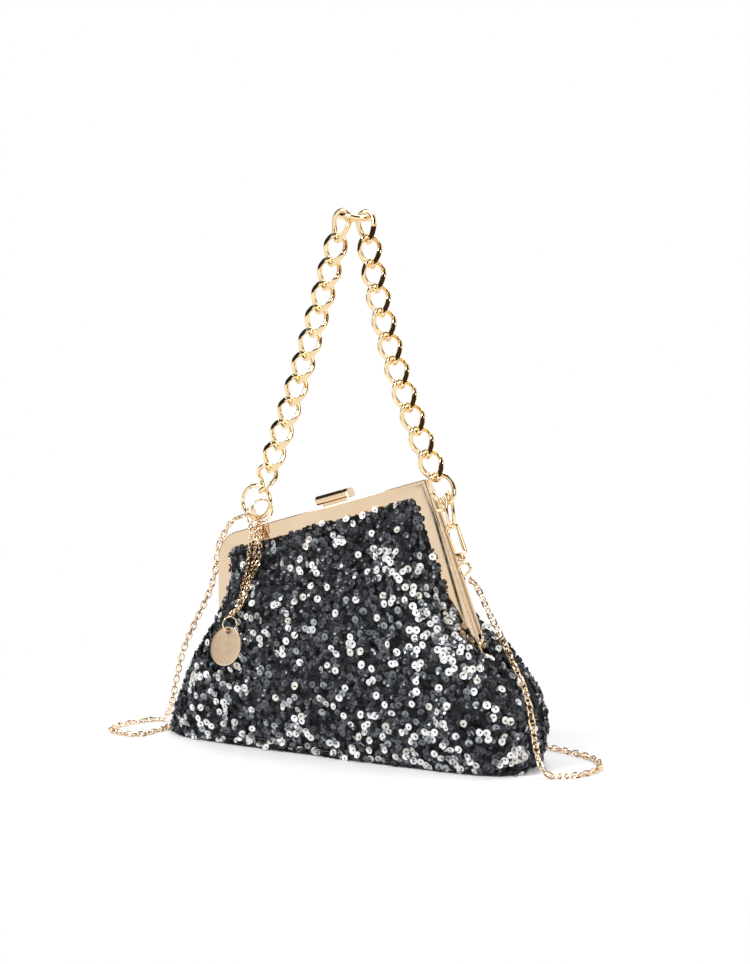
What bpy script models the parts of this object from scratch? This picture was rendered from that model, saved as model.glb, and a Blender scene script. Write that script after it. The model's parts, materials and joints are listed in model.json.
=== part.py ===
"""Evening bag: a sequinned soft body on a hinged metal frame with a curb-chain handle,
a fine shoulder chain and a hanging tag.

Lengths are in millimetres and are turned into metres when a mesh is made.
The origin is the middle of the base on the ground, X runs to the wearer's right of the
front, Y runs to the back and Z is up.  The front half of the frame and the soft body
stay still; the back half of the frame opens backwards about the hinge line.
"""

import math

import bmesh
import bpy
from mathutils import Matrix, Vector

MM = 0.001
GAP = 0.3

# Body
FABRIC = 2.2
BASE_FABRIC = 2.4
BOARD = 1.8
LINING = 0.8
LINING_INSET = 3.6
LINING_NEAR = 1.3
RIM_DEPTH = 4.2
PULL_IN = 12.0
BAND_CLEAR = 14.5
DRAW_START = 19.0
FLARE_TOP = 74.0
FLARE_BASE = 30.2
FLARE_RISE = 50.0
FLARE_FALL = 27.0
RIGHT_FLARE = 1.22
RIGHT_SEAM = 98.5
LOWER_TOP = 76.0
UPPER_BOTTOM = 84.0
RIM_START = 90.0
PANEL_GAP = 2.05
SLIVER = 0.3  # least half width of a side wall
COLUMNS = 20
LOWER_ROWS = 8
FRONT_ROWS = 8
BACK_ROWS = 6
DEPTH_PROFILE = ((0, 40), (20, 43), (50, 41.5), (76, 37.7), (84, 33.5), (104, 27), (130, 19.5), (200, 9))

# Frame
HINGE_Z = 83.0
FRAME_LEFT = -114.0
HINGE_RIGHT = 106.2
CORNER_X = 62.5
CORNER_Z = 199.5
TOP_SLOPE = math.radians(15.4)
LEFT_RADIUS = 22.0
FRAME_END = 78.0
BACK_START = 91.0
BAND = 12.5
HALF = 5.7
WALL = 1.25
SPLIT = 0.3
FABRIC_INSET = 4.2
EAR_RADIUS = 5.2
BACK_EAR_RADIUS = 3.9
LEFT_BACK_EAR = 1.5
RIGHT_BACK_EAR = 4.6
EAR_THICK = 1.2
RIVET_RADIUS = 1.2

# Handle chain
PITCH = 17.9
WIRE = 3.6
LINK_WIDTH = 19.5
LINK_PLAY = 0.6
LEG_LINKS = 12
FOLD_LOW = 4
FOLD_HIGH = 8
CHAIN_Y = -3.0
RING_CENTRE = (-80.5, 178.5)
RING_RADIUS = 12.35
RING_WIRE = 1.65
LEFT_START = (-75.7, 187.9)
RIGHT_START = (79.5, 185.5)
LEFT_TOP = (-4.5, 390.4)
APEX_TILT = math.radians(6)
APEX_ROLL = math.radians(54)
APEX_DROP = 2.6
LINK_TWIST = math.radians(45)
SWING_LEFT = (-80.5, 166.1)
SWING_RIGHT = (79.9, 183.4)
FIRST_TWIST = math.radians(-80)
APEX_TWISTS = (math.radians(26), math.radians(40))

# Gate ring
RING_GATE = (math.radians(115), math.radians(175))
RING_SLIT = 0.5
RING_SLANT = math.radians(30)
LEAF_THINNER = 0.2

# Lugs
LUG_HALF = 1.0
LEFT_LUG_RADIUS = 4.0
LEFT_LUG_HOLE = 2.5
RIGHT_LUG_AT = (75.8, 182.96)
RIGHT_LUG_RADIUS = 4.9
RIGHT_LUG_HOLE = 3.2

# Clasp
CLASP_X = -12.5
KNOB_HALF = 14.0
KNOB_DEPTH = 6.4
KNOB_LOW = 2.6
KNOB_HIGH = 9.2
KNOB_BEVEL = 1.6
STEM_HALF = 10.0
LATCH_HALF = 6.0
SPRING_RADIUS = 1.1
SPRING_WIRE = 0.28
SPRING_TURNS = 4

# Shoulder chain and snap hook
FLOOR_CHAIN_Z = 1.5
CHAIN_WIRE = 1.4
SHOULDER_RING_AT = (-85.7, 168.6)
SHOULDER_RING_RADIUS = 5.8
FINE_WIRE = 0.8
HOOK_LINK_X = 79.6
HOOK_LINK_LEAN = 1.6
HOOK_LINK_Z = 178.0
HOOK_LINK_DEPTH = 5.4
HOOK_LINK_RISE = 12.4
HOOK_LINK_WIRE = 1.25
HOOK_TOP = (82.0, 168.6)
HOOK_FOOT = (93.0, 137.5)
HOOK_BEND = 4.2
HOOK_WIRE = 1.3
HOOK_GATE_WIRE = 0.9
HOOK_GATE_PIVOT = (-3.6, 0, -21.0)
SWIVEL_DOWN = 33.0
SWIVEL_RADIUS = 4.3

# Tassel and tag
TASSEL_AXIS = (-76.0, CHAIN_Y, 167.3)
TASSEL_RING_CENTRE = (-75.5, CHAIN_Y, 172.1)
TASSEL_RING_TURN = math.radians(56)
TASSEL_RING_RADIUS = 8.4
TASSEL_TOP = (-79.0, 163.5)
TASSEL_WIRE = 1.5
TAG_RING_RADIUS = 5.3
TAG_RING_WIRE = 0.7
TAG_CENTRE = (-81.4, -44.0, 74.5)
TAG_TURN = math.radians(-8)
TAG_LEAN = math.radians(-15)
TAG_RADIUS = 14.5
TAG_HALF = 0.7
TAG_EDGE = 0.4
TAG_HOLE_UP = 11.2
TAG_HOLE_RADIUS = 2.0


def clear_scene():
    for item in list(bpy.data.objects):
        bpy.data.objects.remove(item)


def material(name, colour, roughness, metallic):
    made = bpy.data.materials.new(name)
    made.use_nodes = True
    shader = made.node_tree.nodes["Principled BSDF"]
    shader.inputs["Base Color"].default_value = (*colour, 1.0)
    shader.inputs["Roughness"].default_value = roughness
    shader.inputs["Metallic"].default_value = metallic
    made.diffuse_color = (*colour, 1.0)
    return made


def mesh_of(name, points, faces):
    mesh = bpy.data.meshes.new(name)
    mesh.from_pydata([tuple(c * MM for c in p) for p in points], [], faces)
    mesh.update()
    edit = bmesh.new()
    edit.from_mesh(mesh)
    bmesh.ops.recalc_face_normals(edit, faces=edit.faces)
    edit.to_mesh(mesh)
    edit.free()
    return mesh


def place(name, mesh, finish, matrix=None, smooth=True):
    item = bpy.data.objects.new(name, mesh)
    if not mesh.materials:
        mesh.materials.append(finish)
    bpy.context.scene.collection.objects.link(item)
    if smooth:
        mesh.shade_smooth()
        mesh.set_sharp_from_angle(angle=math.radians(35))
    if matrix is not None:
        item.matrix_world = matrix
    return item


def pivot(name, at):
    """An empty on a joint's axis, to parent the moving pieces to."""
    item = bpy.data.objects.new(name, None)
    item.location = Vector(at) * MM
    bpy.context.scene.collection.objects.link(item)
    return item


def hang(item, parent):
    """Parent an item without moving it."""
    world = item.matrix_world.copy()
    item.parent = parent
    item.matrix_parent_inverse = Matrix.Translation(-parent.location)
    item.matrix_basis = world


def lerp(a, b, t):
    return a + (b - a) * t


def along(points, fraction):
    """The point at a fraction of a polyline's length."""
    steps = [math.dist(a, b) for a, b in zip(points, points[1:])]
    left = fraction * sum(steps)
    for start, end, step in zip(points, points[1:], steps):
        if left <= step:
            return tuple(lerp(a, b, left / step) for a, b in zip(start, end))
        left -= step
    return points[-1]


# ---------------------------------------------------------------- frame outline

def frame_outline(start_z):
    """The frame's outer edge in X and Z, from the left hinge over the top to the right one."""
    tangent_x = CORNER_X - CORNER_Z / math.tan(TOP_SLOPE)
    turn = math.pi / 2 - TOP_SLOPE
    corner_z = (FRAME_LEFT - tangent_x) * math.tan(TOP_SLOPE)
    leg = LEFT_RADIUS * math.tan(turn / 2)
    centre = (FRAME_LEFT + LEFT_RADIUS, corner_z - leg)
    points = [(FRAME_LEFT, start_z)]
    for k in range(7):
        angle = math.pi - turn * k / 6
        points.append((centre[0] + LEFT_RADIUS * math.cos(angle), centre[1] + LEFT_RADIUS * math.sin(angle)))
    points.append((CORNER_X, CORNER_Z))
    lean = (HINGE_RIGHT - CORNER_X) / (CORNER_Z - HINGE_Z)
    points.append((HINGE_RIGHT + (HINGE_Z - start_z) * lean, start_z))
    return points


def inset(points, distance):
    """Offset an open polyline to its right-hand side, which is the inside of the frame."""
    moved = []
    for k, point in enumerate(points):
        before = points[max(k - 1, 0)]
        after = points[min(k + 1, len(points) - 1)]
        normals = []
        for a, b in ((before, point), (point, after)):
            length = math.dist(a, b)
            if length > 0:
                normals.append(((b[1] - a[1]) / length, (a[0] - b[0]) / length))
        nx = sum(n[0] for n in normals) / len(normals)
        nz = sum(n[1] for n in normals) / len(normals)
        square = nx * nx + nz * nz
        moved.append((point[0] + distance * nx / square, point[1] + distance * nz / square))
    if len(points) > 2:
        moved[0] = (moved[0][0], points[0][1])
        end_a, end_b = moved[-2], moved[-1]
        reach = (points[-1][1] - end_a[1]) / (end_b[1] - end_a[1])
        moved[-1] = (lerp(end_a[0], end_b[0], reach), points[-1][1])
    return moved


OUTLINE = frame_outline(FRAME_END)


def top_edge(x):
    """Height of the frame's sloping top edge at x."""
    return CORNER_Z - (CORNER_X - x) * math.tan(TOP_SLOPE)


def edge_distance(x, z):
    """Distance from a point to the frame's outer edge."""
    best = math.inf
    for a, b in zip(OUTLINE, OUTLINE[1:]):
        ax, az = b[0] - a[0], b[1] - a[1]
        t = ((x - a[0]) * ax + (z - a[1]) * az) / (ax * ax + az * az)
        t = min(1.0, max(0.0, t))
        best = min(best, math.hypot(x - a[0] - ax * t, z - a[1] - az * t))
    return best


# ---------------------------------------------------------------- body surface

def full_depth(z):
    """Half the depth of the body in its middle at a height."""
    for low, high in zip(DEPTH_PROFILE, DEPTH_PROFILE[1:]):
        if z <= high[0]:
            return lerp(low[1], high[1], (z - low[0]) / (high[0] - low[0]))
    return DEPTH_PROFILE[-1][1]


def depth(x, z):
    """Half the depth of the body at a point: full inside, drawn in towards the frame."""
    drawn = 1 - math.exp(-max(0.0, edge_distance(x, z) - DRAW_START) / PULL_IN)
    return RIM_DEPTH + (full_depth(z) - RIM_DEPTH) * drawn


def flare(z):
    """How far a side of the body swells out past the frame below the hinge."""
    u = min(1.0, z / FLARE_TOP)
    return math.sqrt(1 - u) * (FLARE_BASE + FLARE_RISE * u - FLARE_FALL * u * u)


def side_left(z, inner=0.0):
    return FRAME_LEFT + FABRIC_INSET - flare(z) + inner


def side_right(z, inner=0.0):
    return RIGHT_SEAM + RIGHT_FLARE * flare(z) - inner


def levels(bottom, drop):
    """Heights of the lower body's rows of points, the top ones left out."""
    rows = LOWER_ROWS + 1 - drop
    return [bottom] + [lerp(GAP, LOWER_TOP, r / LOWER_ROWS) for r in range(1, rows)]


def lower_grid(side, bottom):
    """Rows of points on the lower body: side is -1 for the front and 1 for the back."""
    grid = []
    for z in levels(bottom, 0):
        row = []
        for c in range(COLUMNS + 1):
            x = lerp(side_left(z), side_right(z), c / COLUMNS)
            row.append((x, side * depth(x, z), z))
        grid.append(row)
    return grid


def rim_points(distance):
    """Points along a line at a distance inside the frame's outer edge."""
    edge = inset(frame_outline(RIM_START), distance)
    return [along(edge, c / COLUMNS) for c in range(COLUMNS + 1)]


def upper_grid(side, bottom, rows):
    """Rows of points fanning out from a level line to the edge held in the frame."""
    held = rim_points(FABRIC_INSET)
    clear = [held[0]] + rim_points(BAND_CLEAR)[1:-1] + [held[-1]]
    left = FRAME_LEFT + FABRIC_INSET
    grid = []
    for r in range(rows):
        row = []
        for c in range(COLUMNS + 1):
            x = lerp(lerp(left, RIGHT_SEAM, c / COLUMNS), clear[c][0], r / (rows - 1))
            z = lerp(bottom, clear[c][1], r / (rows - 1))
            row.append((x, side * depth(x, z), z))
        grid.append(row)
    grid.append([(x, side * RIM_DEPTH, z) for x, z in held])
    return grid


def lining_grid(grid, side):
    """The lining behind a panel: the panel's grid moved inwards, its edge in the frame left off."""
    moved = []
    for row in grid[:-1]:
        moved.append([(x, side * max(LINING_NEAR, abs(y) - LINING_INSET), z) for x, y, z in row[1:-1]])
    return moved


def shell(name, finish, outer, inner):
    """A closed thin solid between two grids of points of the same size."""
    rows, columns = len(outer), len(outer[0])
    points = [p for row in outer for p in row] + [p for row in inner for p in row]
    shift = rows * columns

    def at(r, c, layer):
        return r * columns + c + layer * shift

    faces = []
    for r in range(rows - 1):
        for c in range(columns - 1):
            for layer in (0, 1):
                faces.append((at(r, c, layer), at(r, c + 1, layer),
                              at(r + 1, c + 1, layer), at(r + 1, c, layer)))
    for c in range(columns - 1):
        for r in (0, rows - 1):
            faces.append((at(r, c, 0), at(r, c + 1, 0), at(r, c + 1, 1), at(r, c, 1)))
    for r in range(rows - 1):
        for c in (0, columns - 1):
            faces.append((at(r, c, 0), at(r + 1, c, 0), at(r + 1, c, 1), at(r, c, 1)))
    return place(name, mesh_of(name, points, faces), finish)


def thickened(grid, side, thickness):
    """The same grid moved towards the middle plane."""
    return [[(x, y - side * thickness, z) for x, y, z in row] for row in grid]


def layer(name, finish, grid, side, thickness):
    return shell(name, finish, grid, thickened(grid, side, thickness))


def front_grid(bottom):
    return lower_grid(-1, bottom) + upper_grid(-1, LOWER_TOP + 1, FRONT_ROWS)


def gusset(name, finish, side, offset, thickness, bottom, drop):
    """The side of the body below the hinge, between the front and back panels."""
    edge = side_left if side < 0 else side_right
    outer = []
    for z in levels(bottom, drop):
        x = edge(z, offset)
        reach = (side_right(z) - side_left(z)) / COLUMNS
        outside = depth(edge(z), z)
        within = lerp(outside, depth(edge(z) - side * reach, z), (offset + thickness) / reach)
        half = max(SLIVER, min(outside, within) - offset - FABRIC - PANEL_GAP)
        outer.append([(x, lerp(-half, half, c / 6), z) for c in range(7)])
    inner = [[(x - side * thickness, y, z) for x, y, z in row] for row in outer]
    return shell(name, finish, outer, inner)


def base_slab(name, finish, bottom, thickness, margin):
    """A flat layer of the base, inside the panels' lower edges."""
    ring = []
    for side in (-1, 1):
        for k in range(13):
            t = k / 12 if side < 0 else 1 - k / 12
            x = lerp(side_left(0, margin), side_right(0, margin), t)
            ring.append((x, side * (depth(x, bottom) - margin)))
    low = [(x, y, bottom) for x, y in ring]
    high = [(x, y, bottom + thickness) for x, y in ring]
    count = len(ring)
    faces = [tuple(range(count)), tuple(range(2 * count - 1, count - 1, -1))]
    for k in range(count):
        n = (k + 1) % count
        faces.append((k, n, n + count, k + count))
    return place(name, mesh_of(name, low + high, faces), finish, smooth=False)


# ---------------------------------------------------------------- solids used by many pieces

def cuboid(name, finish, low, high, matrix=None, bevel=0.0):
    """A box from its two corners, in millimetres, with rounded edges if asked."""
    x0, y0, z0 = low
    x1, y1, z1 = high
    points = [(x, y, z) for z in (z0, z1) for y in (y0, y1) for x in (x0, x1)]
    faces = [(0, 2, 3, 1), (4, 5, 7, 6), (0, 1, 5, 4), (2, 6, 7, 3), (0, 4, 6, 2), (1, 3, 7, 5)]
    item = place(name, mesh_of(name, points, faces), finish, matrix)
    if bevel:
        rounding = item.modifiers.new("rounding", "BEVEL")
        rounding.width = bevel * MM
        rounding.segments = 2
        rounding.limit_method = "ANGLE"
    return item


def rod(name, finish, start, end, profile, sides=16):
    """A solid turned about the line from start to end: profile is (fraction, radius) pairs."""
    axis = (Vector(end) - Vector(start)).normalized()
    across = axis.orthogonal().normalized()
    up = axis.cross(across)
    points = []
    for fraction, radius in profile:
        centre = Vector(start).lerp(Vector(end), fraction)
        for k in range(sides):
            angle = 2 * math.pi * k / sides
            points.append(tuple(centre + radius * (math.cos(angle) * across + math.sin(angle) * up)))
    faces = [tuple(range(sides)), tuple(range(len(points) - sides, len(points)))]
    for r in range(len(profile) - 1):
        for k in range(sides):
            a = r * sides + k
            b = r * sides + (k + 1) % sides
            faces.append((a, b, b + sides, a + sides))
    return place(name, mesh_of(name, points, faces), finish)


def tube_mesh(name, path, radius, sides, closed, centre=None):
    """A round wire along a path; a closed one turns its section about the loop's centre."""
    path = [Vector(p) for p in path]
    count = len(path)
    points = []
    across = None
    for k, point in enumerate(path):
        before = path[(k - 1) % count] if closed else path[max(k - 1, 0)]
        after = path[(k + 1) % count] if closed else path[min(k + 1, count - 1)]
        tangent = (after - before).normalized()
        if closed:
            across = point - Vector(centre)
        elif across is None:
            across = tangent.orthogonal()
        across = (across - across.dot(tangent) * tangent).normalized()
        up = tangent.cross(across)
        for s in range(sides):
            angle = 2 * math.pi * (s + 0.5) / sides
            points.append(tuple(point + radius * (math.cos(angle) * across + math.sin(angle) * up)))
    faces = []
    for k in range(count if closed else count - 1):
        n = (k + 1) % count
        for s in range(sides):
            t = (s + 1) % sides
            faces.append((k * sides + s, k * sides + t, n * sides + t, n * sides + s))
    if not closed:
        faces.append(tuple(range(sides)))
        faces.append(tuple(range((count - 1) * sides, count * sides)))
    return mesh_of(name, points, faces)


def ring_points(centre, radius, normal, start=0.0, end=2 * math.pi, count=20, zero=(1, 0, 0)):
    """Points round a circle, or along part of it, counted from the zero direction."""
    normal = Vector(normal).normalized()
    first = Vector(zero) - Vector(zero).dot(normal) * normal
    first.normalize()
    second = normal.cross(first)
    full = abs(end - start - 2 * math.pi) < 1e-6
    steps = count if full else count - 1
    found = []
    for k in range(count):
        angle = lerp(start, end, k / steps)
        found.append(Vector(centre) + radius * (math.cos(angle) * first + math.sin(angle) * second))
    return found


def wire_ring(name, finish, centre, radius, wire, normal, count=20):
    path = ring_points(centre, radius, normal, count=count, zero=(0, 0, 1))
    return place(name, tube_mesh(name, path, wire, 6, True, centre), finish)


def smooth_path(knots, per_span):
    """A Catmull-Rom curve through the knots."""
    knots = [Vector(k) for k in knots]
    knots = [2 * knots[0] - knots[1]] + knots + [2 * knots[-1] - knots[-2]]
    path = []
    for a, b, c, d in zip(knots, knots[1:], knots[2:], knots[3:]):
        for k in range(per_span):
            t = k / per_span
            path.append(0.5 * (2 * b + (c - a) * t + (2 * a - 5 * b + 4 * c - d) * t * t
                               + (3 * b - a - 3 * c + d) * t ** 3))
    path.append(knots[-2])
    return path


def joined(base, *others):
    """Union other solids into the base one."""
    for k, other in enumerate(others):
        step = base.modifiers.new("join" + str(k), "BOOLEAN")
        step.operation = "UNION"
        step.object = other
        other.hide_render = True
        other.display_type = "WIRE"
    return base


def cut(base, *others):
    """Cut other solids out of the base one."""
    for k, other in enumerate(others):
        step = base.modifiers.new("cut" + str(k), "BOOLEAN")
        step.operation = "DIFFERENCE"
        step.object = other
        other.hide_render = True
        other.display_type = "WIRE"
    return base


# ---------------------------------------------------------------- frame

def frame_half(name, finish, side, start_z):
    """One half of the frame: an L section swept round the outline, side -1 for the front."""
    section = ((0, SPLIT), (0, HALF - 0.8), (0.8, HALF), (BAND - 0.4, HALF), (BAND, HALF - 0.4),
               (BAND, HALF - WALL), (WALL, HALF - WALL), (WALL, SPLIT))
    outline = frame_outline(start_z)
    rails = [inset(outline, distance) for distance, _ in section]
    count = len(section)
    points = []
    for k in range(len(outline)):
        for rail, (_, y) in zip(rails, section):
            points.append((rail[k][0], side * y, rail[k][1]))
    faces = [tuple(range(count)), tuple(range(len(points) - count, len(points)))]
    for k in range(len(outline) - 1):
        for s in range(count):
            t = (s + 1) % count
            faces.append((k * count + s, k * count + t, (k + 1) * count + t, (k + 1) * count + s))
    return place(name, mesh_of(name, points, faces), finish)


def ear(name, finish, x0, x1, radius):
    """A round hinge ear across the split, centred on the hinge line."""
    return rod(name, finish, (x0, 0, HINGE_Z), (x1, 0, HINGE_Z), ((0, radius), (1, radius)), sides=24)


def hinge_hole(name, finish, x0, x1):
    return ear(name, finish, x0, x1, RIVET_RADIUS + GAP)


def build_frame(gold):
    front = frame_half("frame_front", gold, -1, FRAME_END)
    back = frame_half("frame_back", gold, 1, BACK_START)
    left = FRAME_LEFT
    right = HINGE_RIGHT
    left_in = left + LEFT_BACK_EAR
    right_in = right - RIGHT_BACK_EAR
    front_ears = (ear("front_ear_left", gold, left, left + EAR_THICK, EAR_RADIUS),
                  ear("front_ear_right", gold, right - 0.1 - EAR_THICK, right - 0.1, EAR_RADIUS))
    back_ears = (ear("back_ear_left", gold, left_in, left_in + EAR_THICK, BACK_EAR_RADIUS),
                 ear("back_ear_right", gold, right_in, right_in + EAR_THICK, BACK_EAR_RADIUS))
    outer = HALF - 0.05
    strap_top = BACK_START + 4
    straps = (
        cuboid("strap_left", gold, (left_in, 0.6, HINGE_Z), (left_in + EAR_THICK, outer, strap_top)),
        cuboid("strap_right", gold, (right_in, 0.6, HINGE_Z), (right_in + EAR_THICK, outer, HINGE_Z + 3)),
        cuboid("strap_plate", gold, (right_in - 3, HALF - WALL, HINGE_Z),
               (right_in + EAR_THICK - 0.1, outer - 0.05, strap_top)),
    )
    slot_half = STEM_HALF + 0.5
    slot = cuboid("knob_slot", gold, (-slot_half, -3.8, -3), (slot_half, -1.0, 3), clasp_place())
    joined(front, *front_ears)
    joined(back, *back_ears, *straps)
    cut(front, hinge_hole("hole_front_left", gold, left - 2, left + 2),
        hinge_hole("hole_front_right", gold, right - 3, right + 2), slot)
    cut(back, hinge_hole("hole_back_left", gold, left + 1, left + 3.2),
        hinge_hole("hole_back_right", gold, right_in - 1, right_in + 2))
    rivet("hinge_rivet_left", gold, left - 1.3, left + 3.8)
    rivet("hinge_rivet_right", gold, right + 2.2, right_in - 1.1)
    return back


def rivet(name, finish, outer_x, inner_x):
    """A hinge rivet with a wide outer head and a small inner one."""
    length = abs(inner_x - outer_x)
    head = 1.0 / length
    profile = ((0, 1.9), (head * 0.4, 2.5), (head, 2.5), (head, RIVET_RADIUS),
               (1 - 0.8 * head, RIVET_RADIUS), (1 - 0.8 * head, 1.7), (1, 1.7))
    return rod(name, finish, (outer_x, 0, HINGE_Z), (inner_x, 0, HINGE_Z), profile, sides=16)


# ---------------------------------------------------------------- clasp

def clasp_place():
    """Local axes of the clasp: X along the top bar, Z square to it, origin on its outer face."""
    at = Vector((CLASP_X, 0, top_edge(CLASP_X))) * MM
    return Matrix.Translation(at) @ Matrix.Rotation(-TOP_SLOPE, 4, "Y")


def build_clasp(gold, steel):
    here = clasp_place()
    knob = cuboid("clasp_knob", gold, (-KNOB_HALF, -KNOB_DEPTH, KNOB_LOW), (KNOB_HALF, KNOB_DEPTH, KNOB_HIGH),
                  here, bevel=KNOB_BEVEL)
    stem = cuboid("knob_stem", gold, (-STEM_HALF, -3.4, -1.0), (STEM_HALF, -1.4, KNOB_LOW + 1), here)
    joined(knob, stem)
    latch = cuboid("clasp_latch", steel, (-LATCH_HALF, -1.7, -3.4), (LATCH_HALF, 1.2, -1.75), here, bevel=0.2)
    cuboid("clasp_strike", steel, (-7, 1.6, -3.8), (7, HALF - WALL - GAP, -1.7), here, bevel=0.2)
    steps = SPRING_TURNS * 10
    coil = []
    for k in range(steps + 1):
        angle = 2 * math.pi * k / 10
        x = lerp(-12.4, -LATCH_HALF - 0.1, k / steps)
        coil.append((SPRING_RADIUS * math.cos(angle), SPRING_RADIUS * math.sin(angle) - 0.4, x))
    place("clasp_spring", tube_mesh("clasp_spring", coil, SPRING_WIRE, 5, False), steel, here)
    return knob, latch


# ---------------------------------------------------------------- handle chain

def link_path(start_twist=-LINK_TWIST, end_twist=LINK_TWIST, count=16):
    """Centreline of a curb link along X, turned steadily about X from one end to the other."""
    half = (PITCH + WIRE + LINK_PLAY) / 2
    side = (LINK_WIDTH - WIRE) / 2
    path = []
    for k in range(count):
        angle = 2 * math.pi * k / count
        x = half * math.cos(angle)
        y = side * math.sin(angle)
        twist = lerp(start_twist, end_twist, (x / half + 1) / 2)
        path.append((x, y * math.cos(twist), y * math.sin(twist)))
    return path


def link_mesh(name, start_twist=-LINK_TWIST, end_twist=LINK_TWIST):
    return tube_mesh(name, link_path(start_twist, end_twist), WIRE / 2, 6, True, (0, 0, 0))


def leg_points(start, end, side):
    """Ends of a leg's links: equal chords of a circle through the two ends, bowed to a side."""
    chord = math.dist(start, end)
    low, high = 1e-5, math.pi / LEG_LINKS
    for _ in range(60):
        step = (low + high) / 2
        if PITCH * math.sin(LEG_LINKS * step / 2) / math.sin(step / 2) > chord:
            low = step
        else:
            high = step
    heading = math.atan2(end[1] - start[1], end[0] - start[0]) - side * step * (LEG_LINKS - 1) / 2
    points = [start]
    for k in range(LEG_LINKS):
        x, z = points[-1]
        turn = heading + side * step * k
        points.append((x + PITCH * math.cos(turn), z + PITCH * math.sin(turn)))
    return points


def link_matrix(a, b, roll=0.0):
    """Puts a link between two points of the handle's plane, X from a to b."""
    ahead = Vector((b[0] - a[0], 0, b[1] - a[1])).normalized()
    side = Vector((ahead.z, 0, -ahead.x))
    up = ahead.cross(side)
    turn = Matrix((ahead, side, up)).transposed().to_4x4()
    middle = Vector(((a[0] + b[0]) / 2, CHAIN_Y, (a[1] + b[1]) / 2)) * MM
    return Matrix.Translation(middle) @ turn @ Matrix.Rotation(roll, 4, "X")


def handle_legs():
    top_right = (LEFT_TOP[0] + PITCH * math.cos(APEX_TILT), LEFT_TOP[1] - PITCH * math.sin(APEX_TILT))
    return leg_points(LEFT_START, LEFT_TOP, 1), leg_points(RIGHT_START, top_right, -1)


def build_handle(gold):
    """The gate ring and the links, sorted into the three parts that fold."""
    left, right = handle_legs()
    curb = link_mesh("curb_link")
    last = link_mesh("last_link", end_twist=0.0)
    first_left = link_mesh("first_link_left", start_twist=FIRST_TWIST)
    first_right = link_mesh("first_link_right", start_twist=0.0)
    parts = {"lower": [], "middle": [], "top": []}
    number = 0
    for points, first in ((left, first_left), (right, first_right)):
        for k in range(LEG_LINKS):
            number += 1
            mesh = curb
            if k == 0:
                mesh = first
            if k == LEG_LINKS - 1:
                mesh = last
            name = "handle_link_{:02d}".format(number)
            link = place(name, mesh, gold, link_matrix(points[k], points[k + 1]))
            if k < FOLD_LOW:
                parts["lower"].append(link)
            elif k < FOLD_HIGH:
                parts["middle"].append(link)
            else:
                parts["top"].append(link)
    apex = link_mesh("apex_link", *APEX_TWISTS)
    sunk = [(x, z - APEX_DROP) for x, z in (left[-1], right[-1])]
    parts["top"].append(place("handle_link_25", apex, gold, link_matrix(*sunk, APEX_ROLL)))
    return parts


def build_gate_ring(gold):
    centre = (RING_CENTRE[0], CHAIN_Y, RING_CENTRE[1])
    gate_from, gate_to = RING_GATE
    slit = RING_SLIT / RING_RADIUS
    normal = (0, -1, 0)
    body = ring_points(centre, RING_RADIUS, normal, gate_to + 1.6 * slit, gate_from - slit + 2 * math.pi, 22)
    gate = ring_points(centre, RING_RADIUS, normal, gate_from, gate_to, 7)
    ring = place("gate_ring", tube_mesh("gate_ring", body, RING_WIRE, 8, False), gold)
    leaf = place("gate_ring_gate", tube_mesh("gate_ring_gate", gate, RING_WIRE - LEAF_THINNER, 8, False), gold)
    slant(ring, -8, centre, body[-1], body[-2])
    slant(leaf, 0, centre, gate[0], gate[1])
    return ring, leaf, gate[-1]


def slant(item, first, centre, end, before):
    """Shears the end face at vertices first onwards, so that a gate can swing inwards past it."""
    outwards = (end - Vector(centre)).normalized()
    ahead = (end - before).normalized()
    turn = 1 if first else -1
    slope = turn * math.tan(RING_SLANT)
    vertices = list(item.data.vertices)[first:][:8]
    for vertex in vertices:
        vertex.co += ahead * slope * (vertex.co - end * MM).dot(outwards)


def build_lugs(gold):
    """The left lug stands on the top bar; the right one reaches out from the right bar."""
    eye_left = Vector((SWING_LEFT[0], CHAIN_Y, SWING_LEFT[1]))
    here = Matrix.Translation(eye_left * MM) @ Matrix.Rotation(-TOP_SLOPE, 4, "Y")
    drop = (SWING_LEFT[1] - top_edge(SWING_LEFT[0])) * math.cos(TOP_SLOPE)
    lug = cuboid("lug_left", gold, (-LUG_HALF, -2.2, GAP - drop), (LUG_HALF, 2.2, -1.0), here)
    joined(lug, turned("lug_left_eye", gold, here, -LUG_HALF, LUG_HALF, LEFT_LUG_RADIUS))
    cut(lug, turned("lug_left_hole", gold, here, -3, 3, LEFT_LUG_HOLE))
    eye_right = Vector((RIGHT_LUG_AT[0], CHAIN_Y, RIGHT_LUG_AT[1]))
    tilt = math.atan2(SWING_RIGHT[1] - SWING_LEFT[1], SWING_RIGHT[0] - SWING_LEFT[0])
    there = Matrix.Translation(eye_right * MM) @ Matrix.Rotation(-tilt, 4, "Y")
    arm = turned("lug_right", gold, there, -LUG_HALF, LUG_HALF, RIGHT_LUG_RADIUS)
    joined(arm, cuboid("lug_arm", gold, (-5.0, -1.6, -6.2), (0.9, 1.6, -3.9), there))
    cut(arm, turned("lug_right_hole", gold, there, -2, 2, RIGHT_LUG_HOLE))


def turned(name, finish, matrix, x0, x1, radius):
    """A round solid along the local X axis of a matrix."""
    item = rod(name, finish, (x0, 0, 0), (x1, 0, 0), ((0, radius), (1, radius)), sides=20)
    item.matrix_world = matrix
    return item


# ---------------------------------------------------------------- shoulder chain and its fittings

def hook_place():
    """Local axes of the snap hook: Z up along it, origin at the top of the hook."""
    axis = Vector((HOOK_TOP[0] - HOOK_FOOT[0], 0, HOOK_TOP[1] - HOOK_FOOT[1])).normalized()
    across = Vector((axis.z, 0, -axis.x))
    turn = Matrix((across, Vector((0, 1, 0)), axis)).transposed().to_4x4()
    return Matrix.Translation(Vector((HOOK_TOP[0], CHAIN_Y, HOOK_TOP[1])) * MM) @ turn


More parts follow.
